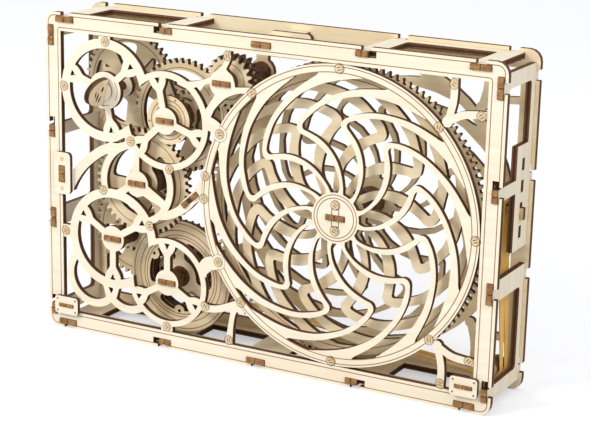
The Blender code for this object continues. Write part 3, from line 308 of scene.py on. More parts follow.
class Net:
    """One material's nodes."""

    def __init__(self, name):
        self.material = bpy.data.materials.new(name)
        self.material.use_nodes = True
        self.nodes = self.material.node_tree.nodes
        self.links = self.material.node_tree.links
        self.shader = self.nodes["Principled BSDF"]

    def plug(self, socket, value):
        if isinstance(value, Wire):
            self.links.new(value.socket, socket)
        else:
            socket.default_value = value

    def node(self, kind, settings=None, sockets=None, out=0):
        """A node of a kind: its settings come first, then the values or links of its sockets."""
        made = self.nodes.new(kind)
        for name, value in (settings or {}).items():
            setattr(made, name, value)
        for name, value in (sockets or {}).items():
            self.plug(made.inputs[name], value)
        return Wire(self, made.outputs[out])

    def math(self, operation, *values):
        return self.node("ShaderNodeMath", {"operation": operation}, dict(enumerate(values)))

    def vector(self, operation, *values, out=0):
        return self.node("ShaderNodeVectorMath", {"operation": operation}, dict(enumerate(values)), out)

    def mix(self, share, first, second):
        """A colour between two; each is a link or three numbers."""
        first, second = [(*c, 1) if isinstance(c, tuple) else c for c in (first, second)]
        return self.node("ShaderNodeMix", {"data_type": "RGBA"}, {0: share, 6: first, 7: second}, 2)

    def noise(self, vector, scale, detail=2.0, roughness=0.5):
        sockets = {"Vector": vector, "Scale": scale, "Detail": detail, "Roughness": roughness}
        return self.node("ShaderNodeTexNoise", None, sockets)

    def soft_step(self, value, low, high):
        """0 below low and 1 above high, smooth between; with low above high it falls."""
        settings = {"interpolation_type": "SMOOTHSTEP"}
        return self.node("ShaderNodeMapRange", settings, {0: value, 1: low, 2: high, 3: 0.0, 4: 1.0})

    def coordinate(self, name):
        return self.node("ShaderNodeTexCoord", None, None, name)

    def split(self, vector):
        made = self.node("ShaderNodeSeparateXYZ", None, {0: vector}).socket.node
        return [Wire(self, made.outputs[i]) for i in range(3)]

    def paint(self, **sockets):
        """Sockets of the shader itself, by name, with _ for a space."""
        for name, value in sockets.items():
            if isinstance(value, tuple):
                value = (*value, 1)
            self.plug(self.shader.inputs[name.replace("_", " ")], value)
        return self.material


# Plywood

PALE_FACE = (0.91, 0.83, 0.67)
PALE_FIGURE = (0.84, 0.73, 0.55)
# The next two pairs of face and figure colours are the same plywood made darker: painted shade for the pieces that
# sit deeper in the box, the second pair darkest and golden.
SHADED_FACE = (0.86, 0.735, 0.51)
SHADED_FIGURE = (0.76, 0.60, 0.37)
DEEP_SHADED_FACE = (0.66, 0.49, 0.27)
DEEP_SHADED_FIGURE = (0.52, 0.35, 0.17)
BURNT = (0.045, 0.018, 0.007)
SINGED = (0.17, 0.075, 0.026)
ENGRAVED = (0.30, 0.15, 0.055)
KEY_FACE = (0.42, 0.225, 0.085)
KEY_FIGURE = (0.20, 0.09, 0.03)
RIVET_FACE = (0.78, 0.62, 0.37)
RIVET_FIGURE = (0.66, 0.47, 0.23)
AMBER = (0.86, 0.55, 0.16)
AMBER_SHADE = (0.72, 0.38, 0.07)
THICKNESS_AXIS = {"front": 1, "side": 0, "top": 2}
GRAIN_STRETCH = {"front": (0.03, 1, 1), "side": (1, 1, 0.03), "top": (0.03, 1, 1)}
LINE_WIDTH = 0.42


def on_line(net, off):
    """1 where a distance, in metres, is within an engraved line's half width."""
    return net.soft_step(abs(off), LINE_WIDTH * MM, LINE_WIDTH * MM / 2)


def ring_lines(net, place, centre, radii):
    """Engraved circles about an axle, 1 on a line."""
    x, _, z = net.split(place)
    home = at(centre[0], 0, centre[1])
    flat = net.node("ShaderNodeCombineXYZ", None, {0: x - home.x, 2: z - home.z})
    reach = net.vector("LENGTH", flat, out=1)
    lines = 0.0
    for radius in radii:
        lines = net.math("MAXIMUM", lines, on_line(net, reach - radius * MM))
    return lines


def frame_line(net, place, x0, z0, x1, z1, corner):
    """An engraved round-cornered rectangle, 1 on the line."""
    low, high = at(x0, 0, z0), at(x1, 0, z1)
    x, _, z = net.split(place)
    half_x = (high.x - low.x) / 2 - corner * MM
    half_z = (high.z - low.z) / 2 - corner * MM
    out_x = abs(x - (low.x + high.x) / 2) - half_x
    out_z = abs(z - (low.z + high.z) / 2) - half_z
    past = net.node("ShaderNodeCombineXYZ", None,
                    {0: net.math("MAXIMUM", out_x, 0), 2: net.math("MAXIMUM", out_z, 0)})
    inner = net.math("MINIMUM", net.math("MAXIMUM", out_x, out_z), 0)
    return on_line(net, net.vector("LENGTH", past, out=1) + inner - corner * MM)


def plywood(name, facing, face, figure, engraving=None):
    """Sheet wood: a pale grained face and burnt laser-cut edges that show the plies."""
    net = Net(name)
    place = net.coordinate("Object")
    across = net.split(net.coordinate("Generated"))[THICKNESS_AXIS[facing]]
    tilt = abs(net.split(net.coordinate("Normal"))[THICKNESS_AXIS[facing]])
    on_face = tilt > 0.6
    stretched = net.vector("MULTIPLY", place, GRAIN_STRETCH[facing])
    fibres = net.noise(stretched, 1400.0, 3.0, 0.6)
    bands = net.noise(stretched, 160.0, 2.0, 0.5)
    cloud = net.noise(place, 22.0, 2.0, 0.5)
    figured = net.soft_step(bands * 0.55 + fibres * 0.30 + cloud * 0.35, 0.40, 0.80)
    wood = net.mix(figured, face, figure)
    if engraving:
        lines = engraving(net, place)
        wood = net.mix(lines, wood, ENGRAVED)
    plies = net.soft_step(abs(across - 0.5), 0.14, 0.20)
    soot = net.noise(place, 420.0, 3.0, 0.6)
    edge = net.mix(net.soft_step(soot * 0.6 + plies * 0.35, 0.30, 0.75), BURNT, SINGED)
    height = fibres * 0.4 + soot * (1 - on_face) * 0.8
    if engraving:
        height = height - lines * 3.0
    bump = net.node("ShaderNodeBump", None, {"Strength": 0.25, "Distance": 0.0003, "Height": height})
    rough = 0.62 - fibres * 0.12 + (1 - on_face) * 0.15
    return net.paint(Base_Color=net.mix(on_face, edge, wood), Roughness=rough, Normal=bump,
                     Specular_IOR_Level=0.3)


def key_wood():
    """Tenon ends and keys: brown all over, with the plies across them and a singed rim."""
    net = Net("key_wood")
    place = net.coordinate("Object")
    fibres = net.noise(net.vector("MULTIPLY", place, (0.1, 1, 1)), 900.0, 3.0, 0.6)
    cloud = net.noise(place, 260.0, 2.0, 0.6)
    colour = net.mix(net.soft_step(fibres * 0.5 + cloud * 0.6, 0.36, 0.72), KEY_FACE, KEY_FIGURE)
    bump = net.node("ShaderNodeBump", None, {"Strength": 0.3, "Distance": 0.0002, "Height": fibres})
    return net.paint(Base_Color=colour, Roughness=0.7 - fibres * 0.1, Normal=bump, Specular_IOR_Level=0.25)


def soot_and_shade_wood():
    """Wood that the laser's smoke has darkened all over; the same dark wood also serves as painted shade behind
    the rivets' slots and round the tenon ends.
    """
    net = Net("soot_and_shade_wood")
    place = net.coordinate("Object")
    soot = net.noise(place, 420.0, 3.0, 0.6)
    colour = net.mix(net.soft_step(soot, 0.3, 0.7), BURNT, SINGED)
    bump = net.node("ShaderNodeBump", None, {"Strength": 0.3, "Distance": 0.0002, "Height": soot})
    return net.paint(Base_Color=colour, Roughness=0.75 - soot * 0.1, Normal=bump, Specular_IOR_Level=0.2)


def rubber():
    net = Net("amber_band")
    place = net.coordinate("Object")
    cloud = net.noise(place, 90.0, 2.0, 0.5)
    colour = net.mix(cloud, AMBER, AMBER_SHADE)
    return net.paint(Base_Color=colour, Roughness=0.38 - cloud * 0.05, Specular_IOR_Level=0.4)


LINE_INSET = 2.3
OUTER_LINE_CORNER = 5.0
INNER_LINE_CORNER = 2.0


def panel_engraving(net, place):
    outer = frame_line(net, place, PANEL_LEFT + LINE_INSET, PANEL_LOW + LINE_INSET,
                       PANEL_RIGHT - LINE_INSET, PANEL_TOP - LINE_INSET, OUTER_LINE_CORNER)
    inner = frame_line(net, place, WIN_LEFT - LINE_INSET, WIN_LOW - LINE_INSET,
                       WIN_RIGHT + LINE_INSET, WIN_TOP + LINE_INSET, INNER_LINE_CORNER)
    return net.math("MAXIMUM", outer, inner)


def circles(centre, *radii):
    """An engraving of circles about an axle."""
    return lambda net, place: ring_lines(net, place, centre, radii)


PALE = {facing: plywood(f"pale_ply_{facing}", facing, PALE_FACE, PALE_FIGURE) for facing in THICKNESS_AXIS}
# Darker copy of the pale plywood: painted shade for the pieces inside the box.
SHADED = {facing: plywood(f"shaded_ply_{facing}", facing, SHADED_FACE, SHADED_FIGURE)
         for facing in THICKNESS_AXIS}
# The darkest copy, golden: painted shade for the pieces deepest in the box's shadow.
DEEP_SHADED = {facing: plywood(f"warm_ply_{facing}", facing, DEEP_SHADED_FACE, DEEP_SHADED_FIGURE)
        for facing in THICKNESS_AXIS}
# Laser soot, and painted shade where it sits behind slots and gaps.
SOOT_AND_SHADE_PLY = soot_and_shade_wood()
KEY_PLY = key_wood()
RUBBER = rubber()


def dress_frame():
    """Gives each carried-over piece its plywood: the pale one in front, and the darker copies, as painted shade,
    for the pieces deeper in the box.
    """
    special = {
        "front_panel": plywood("front_panel_ply", "front", PALE_FACE, PALE_FIGURE, panel_engraving),
        "left_side": PALE["side"],
        "right_side": PALE["side"],
        "top_left_frame": PALE["top"],
        "top_right_frame": PALE["top"],
        "top_middle_bar": PALE["top"],
        "bottom_panel": SHADED["top"],
        "inner_top_plate": SHADED["front"],
        "rear_panel": SHADED["front"],
    }
    slots = {part["node"]: part["material_slot"] for part in frame["record"]["subparts"]}
    by_slot = {"pale_plywood": PALE["front"], "warm_plywood": DEEP_SHADED["front"], "burnt_edge": SOOT_AND_SHADE_PLY,
               "amber_rubber": RUBBER}
    for name, part in frame["nodes"].items():
        material = special.get(name) or by_slot[slots[name]]
        for place in part.material_slots:
            place.material = material


# Grilles and the spiral wheel: one arm's two edges, from the hub out, as radius and angle

ARM_COUNT = 12
RING_OUT = (WIN_TOP - WIN_LOW) / 2 - SEAT_GAP
RING_WIDTH = 5.6
RING_IN = RING_OUT - RING_WIDTH
GRILLE_ARM = (
    [(14, -19), (17, -17.5), (19, -15.4), (21, -14), (23, -12), (26, -9.6), (30, -6.3), (34, -3.2),
     (38, 0.1), (42, 3.7), (46, 7.4), (50, 11.4), (54, 15.8), (57, 19.6), (59, 22), (60, 23.2),
     (61, 23.9), (62, 24.2), (63, 24), (64, 23.6), (65, 22.6), (66, 21.2), (68, 18), (70, 14.7),
     (73, 10.1), (76, 4.5), (79, -1.9), (82, -8.1), (84, -12.9), (86, -17.9), (88, -22.9),
     (90, -28.6), (92, -33.8), (93, -36.3), (94, -38.2), (95, -40.1), (98, -41)],
    [(14, -2), (17, -4.3), (19, -6.9), (21, -7.2), (23, -6.1), (26, -4.1), (30, -1.1), (34, 2.5),
     (38, 6.1), (42, 9.6), (46, 13.4), (50, 17.5), (54, 21.7), (57, 24.8), (59, 26.9), (60, 27.6),
     (61, 27.9), (62, 28), (63, 27.9), (64, 27.6), (65, 26.9), (66, 26.1), (68, 23.6), (70, 21.1),
     (73, 16.6), (76, 11.5), (79, 6.1), (82, 0.3), (84, -3.2), (86, -6.8), (88, -10.6), (90, -14.4),
     (92, -17.7), (93, -19.3), (95, -20.9), (98, -20)])
WHEEL_ARM = (
    [(14, 37), (19, 33.2), (24.3, 31.8), (27.3, 31), (31.2, 28.9), (34.3, 26.2), (37.5, 22.8),
     (40.7, 19.4), (43.6, 16.4), (46.4, 13.8), (49.4, 11.4), (52.4, 8.8), (55, 6.4), (57.4, 3.8),
     (59.6, 2), (62.3, 1.5), (64.8, 2.1), (67, 3.9), (69.1, 5.9), (70.2, 7.6), (72.5, 11.4),
     (74.6, 15), (77.1, 18.4), (79.1, 21.5), (80.6, 24.4), (81.9, 27.3), (82.9, 30.1), (84, 32.8),
     (85.4, 36.2), (86.7, 39.5), (88.4, 42), (92, 43)],
    [(14, 55), (20, 49), (27.3, 42.6), (31.2, 39.4), (34.6, 36.2), (38.5, 33), (41.9, 30.1),
     (45.1, 27.3), (47.7, 24.6), (50.7, 21.3), (53.3, 18.1), (55.9, 14.8), (58.5, 11.6), (60.9, 9.1),
     (62.2, 8), (63.6, 8.4), (65.1, 10.4), (66.8, 12.9), (68.6, 15.6), (70.8, 19), (72.8, 22.5),
     (75.3, 27.8), (77, 32), (78.4, 35.7), (80, 39.8), (82.6, 45.2), (84.6, 49.8), (86.5, 54.7),
     (88.7, 60), (92, 63)])


def spiral_arms(edges):
    """Loops of the hooked arms about the large axle, from the two edges of one of them."""
    one, other = [smooth([polar(radius, angle) for radius, angle in edge], 3) for edge in edges]
    return [spun(one + other[::-1], AXLE_H, i * 360 / ARM_COUNT) for i in range(ARM_COUNT)]


TENON_LENGTH = 13.6
TENON_HEIGHT = 3.4
PIN = 7.5
LUG = 5.2
LUG_PLACES = ((139.0, 157.5), (139.0, 69.0))
GRILLE_HUB = 17.0
GRILLE_LINES = (13.3, 15.4, RING_IN + 0.3, RING_OUT - 1.5)
WHEEL_START = 8.8
WHEEL_RIM_OUT = 94.8
WHEEL_RIM_IN = 88.6
WHEEL_HUB = 17.5
WHEEL_LINE = 90.4
TOOTHED_START = 13.1
TOOTHED_RING_IN = 91.8


def tenon_slot(axle_place):
    """The slot that an axle's flat tenon passes through."""
    return turned_box(axle_place, TENON_LENGTH + 2 * SEAT_GAP, TENON_HEIGHT + 2 * SEAT_GAP)


def large_wheels():
    """The front one of the two fixed grilles, and the wheel that turns behind it."""
    ring = Drawing(disc(AXLE_H, RING_OUT)).cut(disc(AXLE_H, RING_IN))
    ring.add(*spiral_arms(GRILLE_ARM), disc(AXLE_H, GRILLE_HUB))
    ring.cut(*[disc(place, LUG + SEAT_GAP) for place in LUG_PLACES])
    ring.cut(tenon_slot(AXLE_H))
    lines = circles(AXLE_H, *GRILLE_LINES)
    plate("front_spiral_grille", ring, 0, SHEET,
          plywood("grille_ply", "front", PALE_FACE, PALE_FIGURE, lines), "frame", ["front_grille"])
    wheel = Drawing(disc(AXLE_H, WHEEL_RIM_OUT)).cut(disc(AXLE_H, WHEEL_RIM_IN))
    wheel.add(*spiral_arms(WHEEL_ARM), disc(AXLE_H, WHEEL_HUB)).cut(disc(AXLE_H, PIN))
    lines = circles(AXLE_H, WHEEL_LINE)
    # The turning wheel behind the grille takes the darker plywood as painted shade.
    plate("turning_spiral", wheel, WHEEL_START, SHEET,
          plywood("wheel_ply", "front", SHADED_FACE, SHADED_FIGURE, lines), "wheel", ["spiral_wheel"])


# Toothed wheels

MODULE = 1.62
TIP = 1.26
ROOT = 1.82
TOOTH_SHAPE = ((-0.30, -ROOT), (-0.235, -0.7), (-0.19, 0.35), (-0.135, 0.95), (-0.06, TIP),
               (0.06, TIP), (0.135, 0.95), (0.19, 0.35), (0.235, -0.7), (0.30, -ROOT))
WHEEL_TEETH = 123
LARGE_G, SMALL_G = 21, 19
LARGE_A, SMALL_A = 47, 19
LARGE_B, SMALL_B = 45, 16
LARGE_C, SMALL_C = 42, 16
LARGE_D = 47
LARGE_K = 44
GEAR_SPOKE_HALF = 7.5
KNOB_BORE = 3.3
CORNER_EASE = 0.3


def pitch_radius(teeth):
    return MODULE * teeth / 2


def toothed(centre, teeth, phase):
    """A toothed outline: slim round-ended teeth with flat valleys between them."""
    step = 360 / teeth
    return [polar(pitch_radius(teeth) + rise, phase + (i + share) * step, centre)
            for i in range(teeth) for share, rise in TOOTH_SHAPE]


def partner_phase(centre, teeth, phase, other, other_teeth):
    """The phase of a second toothed wheel whose gap faces the first one's tooth."""
    line = math.degrees(math.atan2(other[1] - centre[1], other[0] - centre[0]))
    along = ((line - phase) / (360 / teeth)) % 1
    return line + 180 + (along + 0.5) * 360 / other_teeth


def layer(index):
    """Depth of the front of a sheet: sheet 0 is the front panel's own."""
    return index * (SHEET + RUN_GAP)


def window(centre, inner, outer, start, end, corner=2.2):
    """An opening between two radii and two angles, with rounded corners."""
    bend_out = math.degrees(corner / outer)
    bend_in = math.degrees(corner / inner)
    small = corner * CORNER_EASE
    ease_out, ease_in = bend_out * CORNER_EASE, bend_in * CORNER_EASE
    loop = [polar(outer - corner, start, centre), polar(outer - small, start + ease_out, centre)]
    loop += arc(centre, outer, start + bend_out, end - bend_out)
    loop += [polar(outer - small, end - ease_out, centre), polar(outer - corner, end, centre)]
    loop += [polar(inner + corner, end, centre), polar(inner + small, end - ease_in, centre)]
    loop += arc(centre, inner, end - bend_in, start + bend_in)
    loop += [polar(inner + small, start + ease_in, centre), polar(inner + corner, start, centre)]
    return loop


def gear(node, centre, teeth, phase, start, body, thickness=SHEET, windows=0, rim=5.0, hub=12.0,
         lines=(), pin=PIN):
    """A toothed wheel in place of its plain solid."""
    root = pitch_radius(teeth) - ROOT
    drawing = Drawing(toothed(centre, teeth, phase))
    spoke = math.degrees(GEAR_SPOKE_HALF / (root - rim))
    for i in range(windows):
        first = phase + i * 360 / windows
        drawing.cut(window(centre, hub, root - rim, first + spoke, first + 360 / windows - spoke))
    drawing.cut(disc(centre, pin))
    # The toothed wheels sit inside the box and take the darker plywood as painted shade.
    ply = SHADED["front"]
    if lines:
        ply = plywood(f"{node}_ply", "front", SHADED_FACE, SHADED_FIGURE, circles(centre, *lines))
    plate(f"{node}_cut", drawing, start, thickness, ply, body, [node])


def gear_train():
    """All toothed wheels, each meshed with its neighbour."""
    phase_ring, phase_small_g, phase_small_a, phase_small_b, phase_small_c = 0.7, 5.0, 3.0, 7.0, 4.0
    phase_g = partner_phase(AXLE_H, WHEEL_TEETH, phase_ring, AXLE_G, LARGE_G)
    phase_a = partner_phase(AXLE_G, SMALL_G, phase_small_g, AXLE_A, LARGE_A)
    phase_b = partner_phase(AXLE_A, SMALL_A, phase_small_a, AXLE_B, LARGE_B)
    phase_c = partner_phase(AXLE_B, SMALL_B, phase_small_b, AXLE_C, LARGE_C)
    phase_d = partner_phase(AXLE_C, SMALL_C, phase_small_c, AXLE_D, LARGE_D)
    phase_k = partner_phase(AXLE_A, SMALL_A, phase_small_a, AXLE_K, LARGE_K)
    double = 2 * SHEET + RUN_GAP
    gear("toothed_ring", AXLE_H, WHEEL_TEETH, phase_ring, TOOTHED_START, "wheel", pin=TOOTHED_RING_IN)
    gear("pinion_g_front", AXLE_G, LARGE_G, phase_g, layer(2), "arbor_g", double, lines=(12.0,))
    gear("pinion_g_rear", AXLE_G, SMALL_G, phase_small_g, layer(4), "arbor_g", double)
    gear("gear_a", AXLE_A, LARGE_A, phase_a, layer(5), "arbor_a", windows=4, lines=(33.0, 27.5))
    gear("pinion_a_front", AXLE_A, SMALL_A, phase_small_a, layer(1) + COVER_BACK, "arbor_a")
    gear("pinion_a_rear", AXLE_A, SMALL_A, phase_small_a, layer(7), "arbor_a")
    gear("gear_b", AXLE_B, LARGE_B, phase_b, layer(1) + COVER_BACK, "arbor_b", windows=3, rim=10,
         lines=(31.0,))
    gear("pinion_b", AXLE_B, SMALL_B, phase_small_b, layer(7), "arbor_b")
    gear("gear_c", AXLE_C, LARGE_C, phase_c, layer(7), "arbor_c", windows=4, lines=(29.0,))
    gear("pinion_c", AXLE_C, SMALL_C, phase_small_c, layer(5), "arbor_c")
    gear("gear_k", AXLE_K, LARGE_K, phase_k, layer(7), "arbor_k", windows=5, lines=(30.5,), pin=KNOB_BORE)
    return phase_d


COVER_THICK = 2.6
COVER_BACK = COVER_THICK + SEAT_GAP
COVER_RADIUS = 16.8
COVER_LINES = (13.4, 10.6)
COVER_PIN_CIRCLE = 15.1
COVER_PIN_TURNS = (68, 188, 308)
COVER_PIN_RADIUS = 0.7
COVER_PIN_RISE = 0.15


def cover():
    """The smooth disc on axle A: a burnt groove near its rim, pins between groove and rim."""
    a = AXLE_A
    drawing = Drawing(disc(a, COVER_RADIUS)).cut(disc(a, PIN))
    ply = plywood("cover_ply", "front", SHADED_FACE, SHADED_FIGURE, circles(a, *COVER_LINES))
    plate("cover_disc", drawing, layer(1), COVER_THICK, ply, "arbor_a", ["cover_a"])
    for number, turn in enumerate(COVER_PIN_TURNS, 1):
        pin = Drawing(disc(polar(COVER_PIN_CIRCLE, turn, a), COVER_PIN_RADIUS))
        plate(f"cover_pin_{number}", pin, layer(1) - COVER_PIN_RISE, 2 * COVER_PIN_RISE, KEY_PLY, "arbor_a")


DRUM_HUB = 12.5
DRUM_OPENING = 25.5
DRUM_WINDOW_STARTS = (105, 225, 345)
DRUM_WINDOW_SPAN = 95
DRUM_WINDOW_CORNER = 2.8
DRUM_LUG = 4.2
DRUM_LUG_BACK = 4.2
DRUM_LUG_HOLE = 1.2
FLANGE_RADIUS = 40.0
FLANGE_LINES = (38.0, 33.0, 29.6, 27.6)
DRUM_STACK = 29.0


def drum_windows(drawing, holes):
    """Cuts the drum's three long windows, each with a lug that reaches into it from the rim."""
    d = AXLE_D
    for turn in DRUM_WINDOW_STARTS:
        drawing.cut(window(d, DRUM_HUB, DRUM_OPENING, turn, turn + DRUM_WINDOW_SPAN, DRUM_WINDOW_CORNER))
        lug = polar(DRUM_OPENING, turn + DRUM_WINDOW_SPAN / 2 - DRUM_LUG_BACK, d)
        drawing.add(disc(lug, DRUM_LUG))
        if holes:
            drawing.cut(disc(lug, DRUM_LUG_HOLE))
    return drawing.cut(disc(d, PIN))


def drum(phase):
    """The drum's three front sheets: a flange with engraved circles, toothed wheel and dark stack."""
    d = AXLE_D
    ply = plywood("flange_ply", "front", SHADED_FACE, SHADED_FIGURE, circles(d, *FLANGE_LINES))
    plate("drum_flange_cut", drum_windows(Drawing(disc(d, FLANGE_RADIUS)), True), layer(4), SHEET, ply,
          "drum", ["drum_front_flange"])
    plate("drum_gear_cut", drum_windows(Drawing(toothed(d, LARGE_D, phase)), False), layer(5), SHEET,
          SHADED["front"], "drum", ["drum_gear"])
    plate("drum_stack_cut", drum_windows(Drawing(disc(d, DRUM_STACK)), False),
          layer(5) + SHEET + SEAT_GAP, SHEET, SOOT_AND_SHADE_PLY, "drum", ["drum_stack"])


# Front openwork

LATTICE_RING = 34.0
LATTICE_OPEN = 29.6
KNOB_RING = 35.6
KNOB_OPEN = 29.0
SMALL_RING = 29.5
SMALL_OPEN = 24.6
DRUM_RING = 31.6
DRUM_OPEN = 27.6
SPOKE_WAIST = 2.4
SPOKE_FLARE = 6.9
SPOKE_SHAPE = ((0.0, 0.0), (0.60, 0.0), (0.68, 0.03), (0.73, 0.18), (0.79, 0.48), (0.86, 0.75),
               (0.93, 0.9), (1.06, 1.0))
HUB_PAD = 9.2
KNOB_PAD = 13.0
TAB_WIDTH = 9.2
LOBE_HEIGHT = 30.3
LOBE_LEFT = 16.0
LOBE_RIGHT = 13.0
LOBE_OUT = 22.8
LOBE_IN = 17.3
FOOT_HEIGHT = 14.0
FOOT = [(-9, 18), (-3.6, 0), (3.6, 0), (9, 18)]
FOOT_EYE = [(-3.8, 12.4), (0, 5.4), (3.8, 12.4)]
C_BACKING = 2.0
A_SPOKES = (102, 342, 223)
K_SPOKES = (41, 161, 281)
C_SPOKES = (31, 149, 270)
D_SPOKES = (90, 210, 330)
SPOKE_EYE = 2.2
SPOKE_EYE_PLACE = 0.935
TAB_BITE = 2
CUT_PAST = 2
B_TOP_SPOKE = [(-4.6, 7.7), (-1.3, 25.5), (3.4, 25.5), (1.9, 18.5), (1.9, 9.0)]
B_LEFT_SPOKE = [(-7.1, 0.3), (-11.3, -3.5), (-17.1, -6.8), (-24.0, -7.0), (-22.0, -16.0), (-9.6, -8.3),
                (-6.7, -6.1), (-0.6, -8.7)]
B_RIGHT_SPOKE = [(8.8, -0.3), (23.8, -9.5), (21.0, -16.0), (18.2, -13.1), (10.9, -10.6), (4.3, -7.3)]
B_SWEEP = [(-56.0, -15.0), (-53.8, -13.9), (-51.6, -8.9), (-47.3, -1.8), (-41.3, 5.5), (-34.5, 11.4),
           (-26.9, 16.7), (-20.0, 19.5), (-4.0, 25.0), (-1.0, 33.5), (-12.0, 34.0), (-21.8, 26.6),
           (-30.2, 22.7), (-38.6, 16.9), (-47.1, 9.7), (-53.4, 2.4), (-56.0, -2.0)]
B_SWEEP_SLIT = [(-20.6, 26.4), (-16.1, 26.4), (-10.3, 28.1), (-9.1, 30.0), (-9.9, 31.3), (-16.0, 28.0)]
B_RIVET = (-4.8, 29.2)
B_RIVET_PAD = 4.7
B_FAN = [(10.0, -25.0), (16.6, -23.2), (23.8, -22.1), (31.1, -19.3), (37.5, -15.8), (43.0, -11.5),
         (47.7, -6.6), (51.3, -4.7), (55.0, -4.7), (55.0, 13.6), (53.1, 13.6), (50.0, 8.7), (46.8, 4.4),
         (44.5, 0.6), (38.2, -5.5), (35.0, -9.2), (31.0, -12.6), (25.4, -15.5), (20.0, -18.0)]
FAN_SLOT = (43.0, -5.2)
FAN_TURN = 41.5
FAN_SLOT_LENGTH = 16.0
FAN_SLOT_HEIGHT = 4.2
G_STAR = [(-2.6, 9.0), (-6.4, 5.2), (-12.5, 1.9), (-20.2, -0.3), (-26.5, -1.3),
          (-31.9, -0.3), (-26.8, -3.4), (-21.4, -7.9), (-16.2, -14.4), (-12.4, -21.4), (-10.5, -24.5),
          (-8.4, -23.9), (-5.4, -18.1), (-0.8, -12.9), (3.7, -9.0), (9.0, -6.4), (14.3, -4.7),
          (19.5, -4.5), (22.0, -4.0), (22.0, 0.3), (20.2, -0.1), (10.4, -1.2), (9.6, 2.4), (8.0, 6.2),
          (5.0, 8.5), (3.4, 10.3)]
G_TOP_ARM = [(3.4, 10.3), (4.9, 13.1), (6.8, 16.6)], [(-2.6, 9.0), (0.4, 12.6), (2.6, 16.2)]
G_OPENING = [(-22.2, -5.2), (-16.3, -3.4), (-9.4, -0.6), (-7.9, -2.3), (-4.0, -6.5), (-7.8, -12.3),
             (-12.3, -18.9), (-13.9, -15.7), (-18.6, -9.6)]
A_RIGHT_ARM = [(28.0, 2.0), (30.9, -2.2), (32.5, -1.3), (36.4, -2.9), (45.0, -6.0), (46.0, 0.5),
               (42.5, 4.0), (38.6, 6.2), (35.5, 7.2), (32.0, 7.5)]
D_UPPER_ARM = [(26.8, 12.5), (31.4, 8.7), (32.2, 11.7), (35.3, 14.4), (37.7, 15.5), (44.0, 16.2),
               (43.0, 26.4), (40.7, 26.4), (36.0, 25.1), (29.7, 22.7), (25.8, 18.1)]
D_LOWER_ARM = [(27.0, -13.0), (29.3, -15.3), (37.2, -15.0), (44.4, -13.3), (50.6, -11.1), (62.0, -12.0),
               (62.0, -2.0), (55.2, -3.5), (50.6, -5.4), (42.7, -8.6), (36.4, -10.1), (31.6, -9.9),
               (28.0, -10.5)]
D_LEG_LEFT = [(47.4, -33.6), (48.5, -26.9), (50.0, -18.0), (51.5, -10.0)]
D_LEG_RIGHT = [(60.0, -4.0), (57.3, -8.9), (54.6, -14.3), (53.2, -23.2), (52.9, -31.9)]
BRACKET_RIGHT = 25.0
BRACKET_LEFT = 5.5
BRACKET_HIGH = 23.6
BRACKET_LOW = 10.6
SIDE_BRACKET_RIGHT = WIN_LEFT + 9.0
SIDE_BRACKET_HALF = 15.0


def eased(loop, sharp=48.0):
    """The loop with its gentle bends rounded and its sharp corners kept."""
    points = [Vector(p) for p in loop]
    count = len(points)
    limit = math.radians(sharp)
    corners = [i for i in range(count)
               if (points[i] - points[i - 1]).angle(points[(i + 1) % count] - points[i]) > limit]
    out = []
    for n, start in enumerate(corners):
        reach = (corners[(n + 1) % len(corners)] - start) % count or count
        run = [points[(start + k) % count] for k in range(reach + 1)]
        out += smooth(run, 4)[:-1] if len(run) > 2 else [tuple(run[0])]
    return out


def ring_spokes(drawing, centre, opening, angles):
    """Three spokes, slim at the hub and flared at the ring, each with a small hole near the ring."""
    side = smooth([(opening * r, SPOKE_WAIST + (SPOKE_FLARE - SPOKE_WAIST) * s) for r, s in SPOKE_SHAPE], 3)
    spoke = side + [(r, -half) for r, half in reversed(side)]
    eye = opening * SPOKE_EYE_PLACE
    for angle in angles:
        drawing.add(spun(spoke, centre, angle))
        drawing.cut(spun([(eye + SPOKE_EYE, -SPOKE_EYE), (eye + SPOKE_EYE, SPOKE_EYE),
                          (eye - SPOKE_EYE, 0.0)], centre, angle))


def outside_window(gap):
    """Four loops that cover everything outside the front panel's window, less a gap."""
    x0, z0, x1, z1 = WIN_LEFT + gap, WIN_LOW + gap, WIN_RIGHT - gap, WIN_TOP - gap
    far = 60
    return [box(x0 - far, z0 - far, x0, z1 + far), box(x1, z0 - far, x1 + far, z1 + far),
            box(x0 - far, z0 - far, x1 + far, z0), box(x0 - far, z1, x1 + far, z1 + far)]


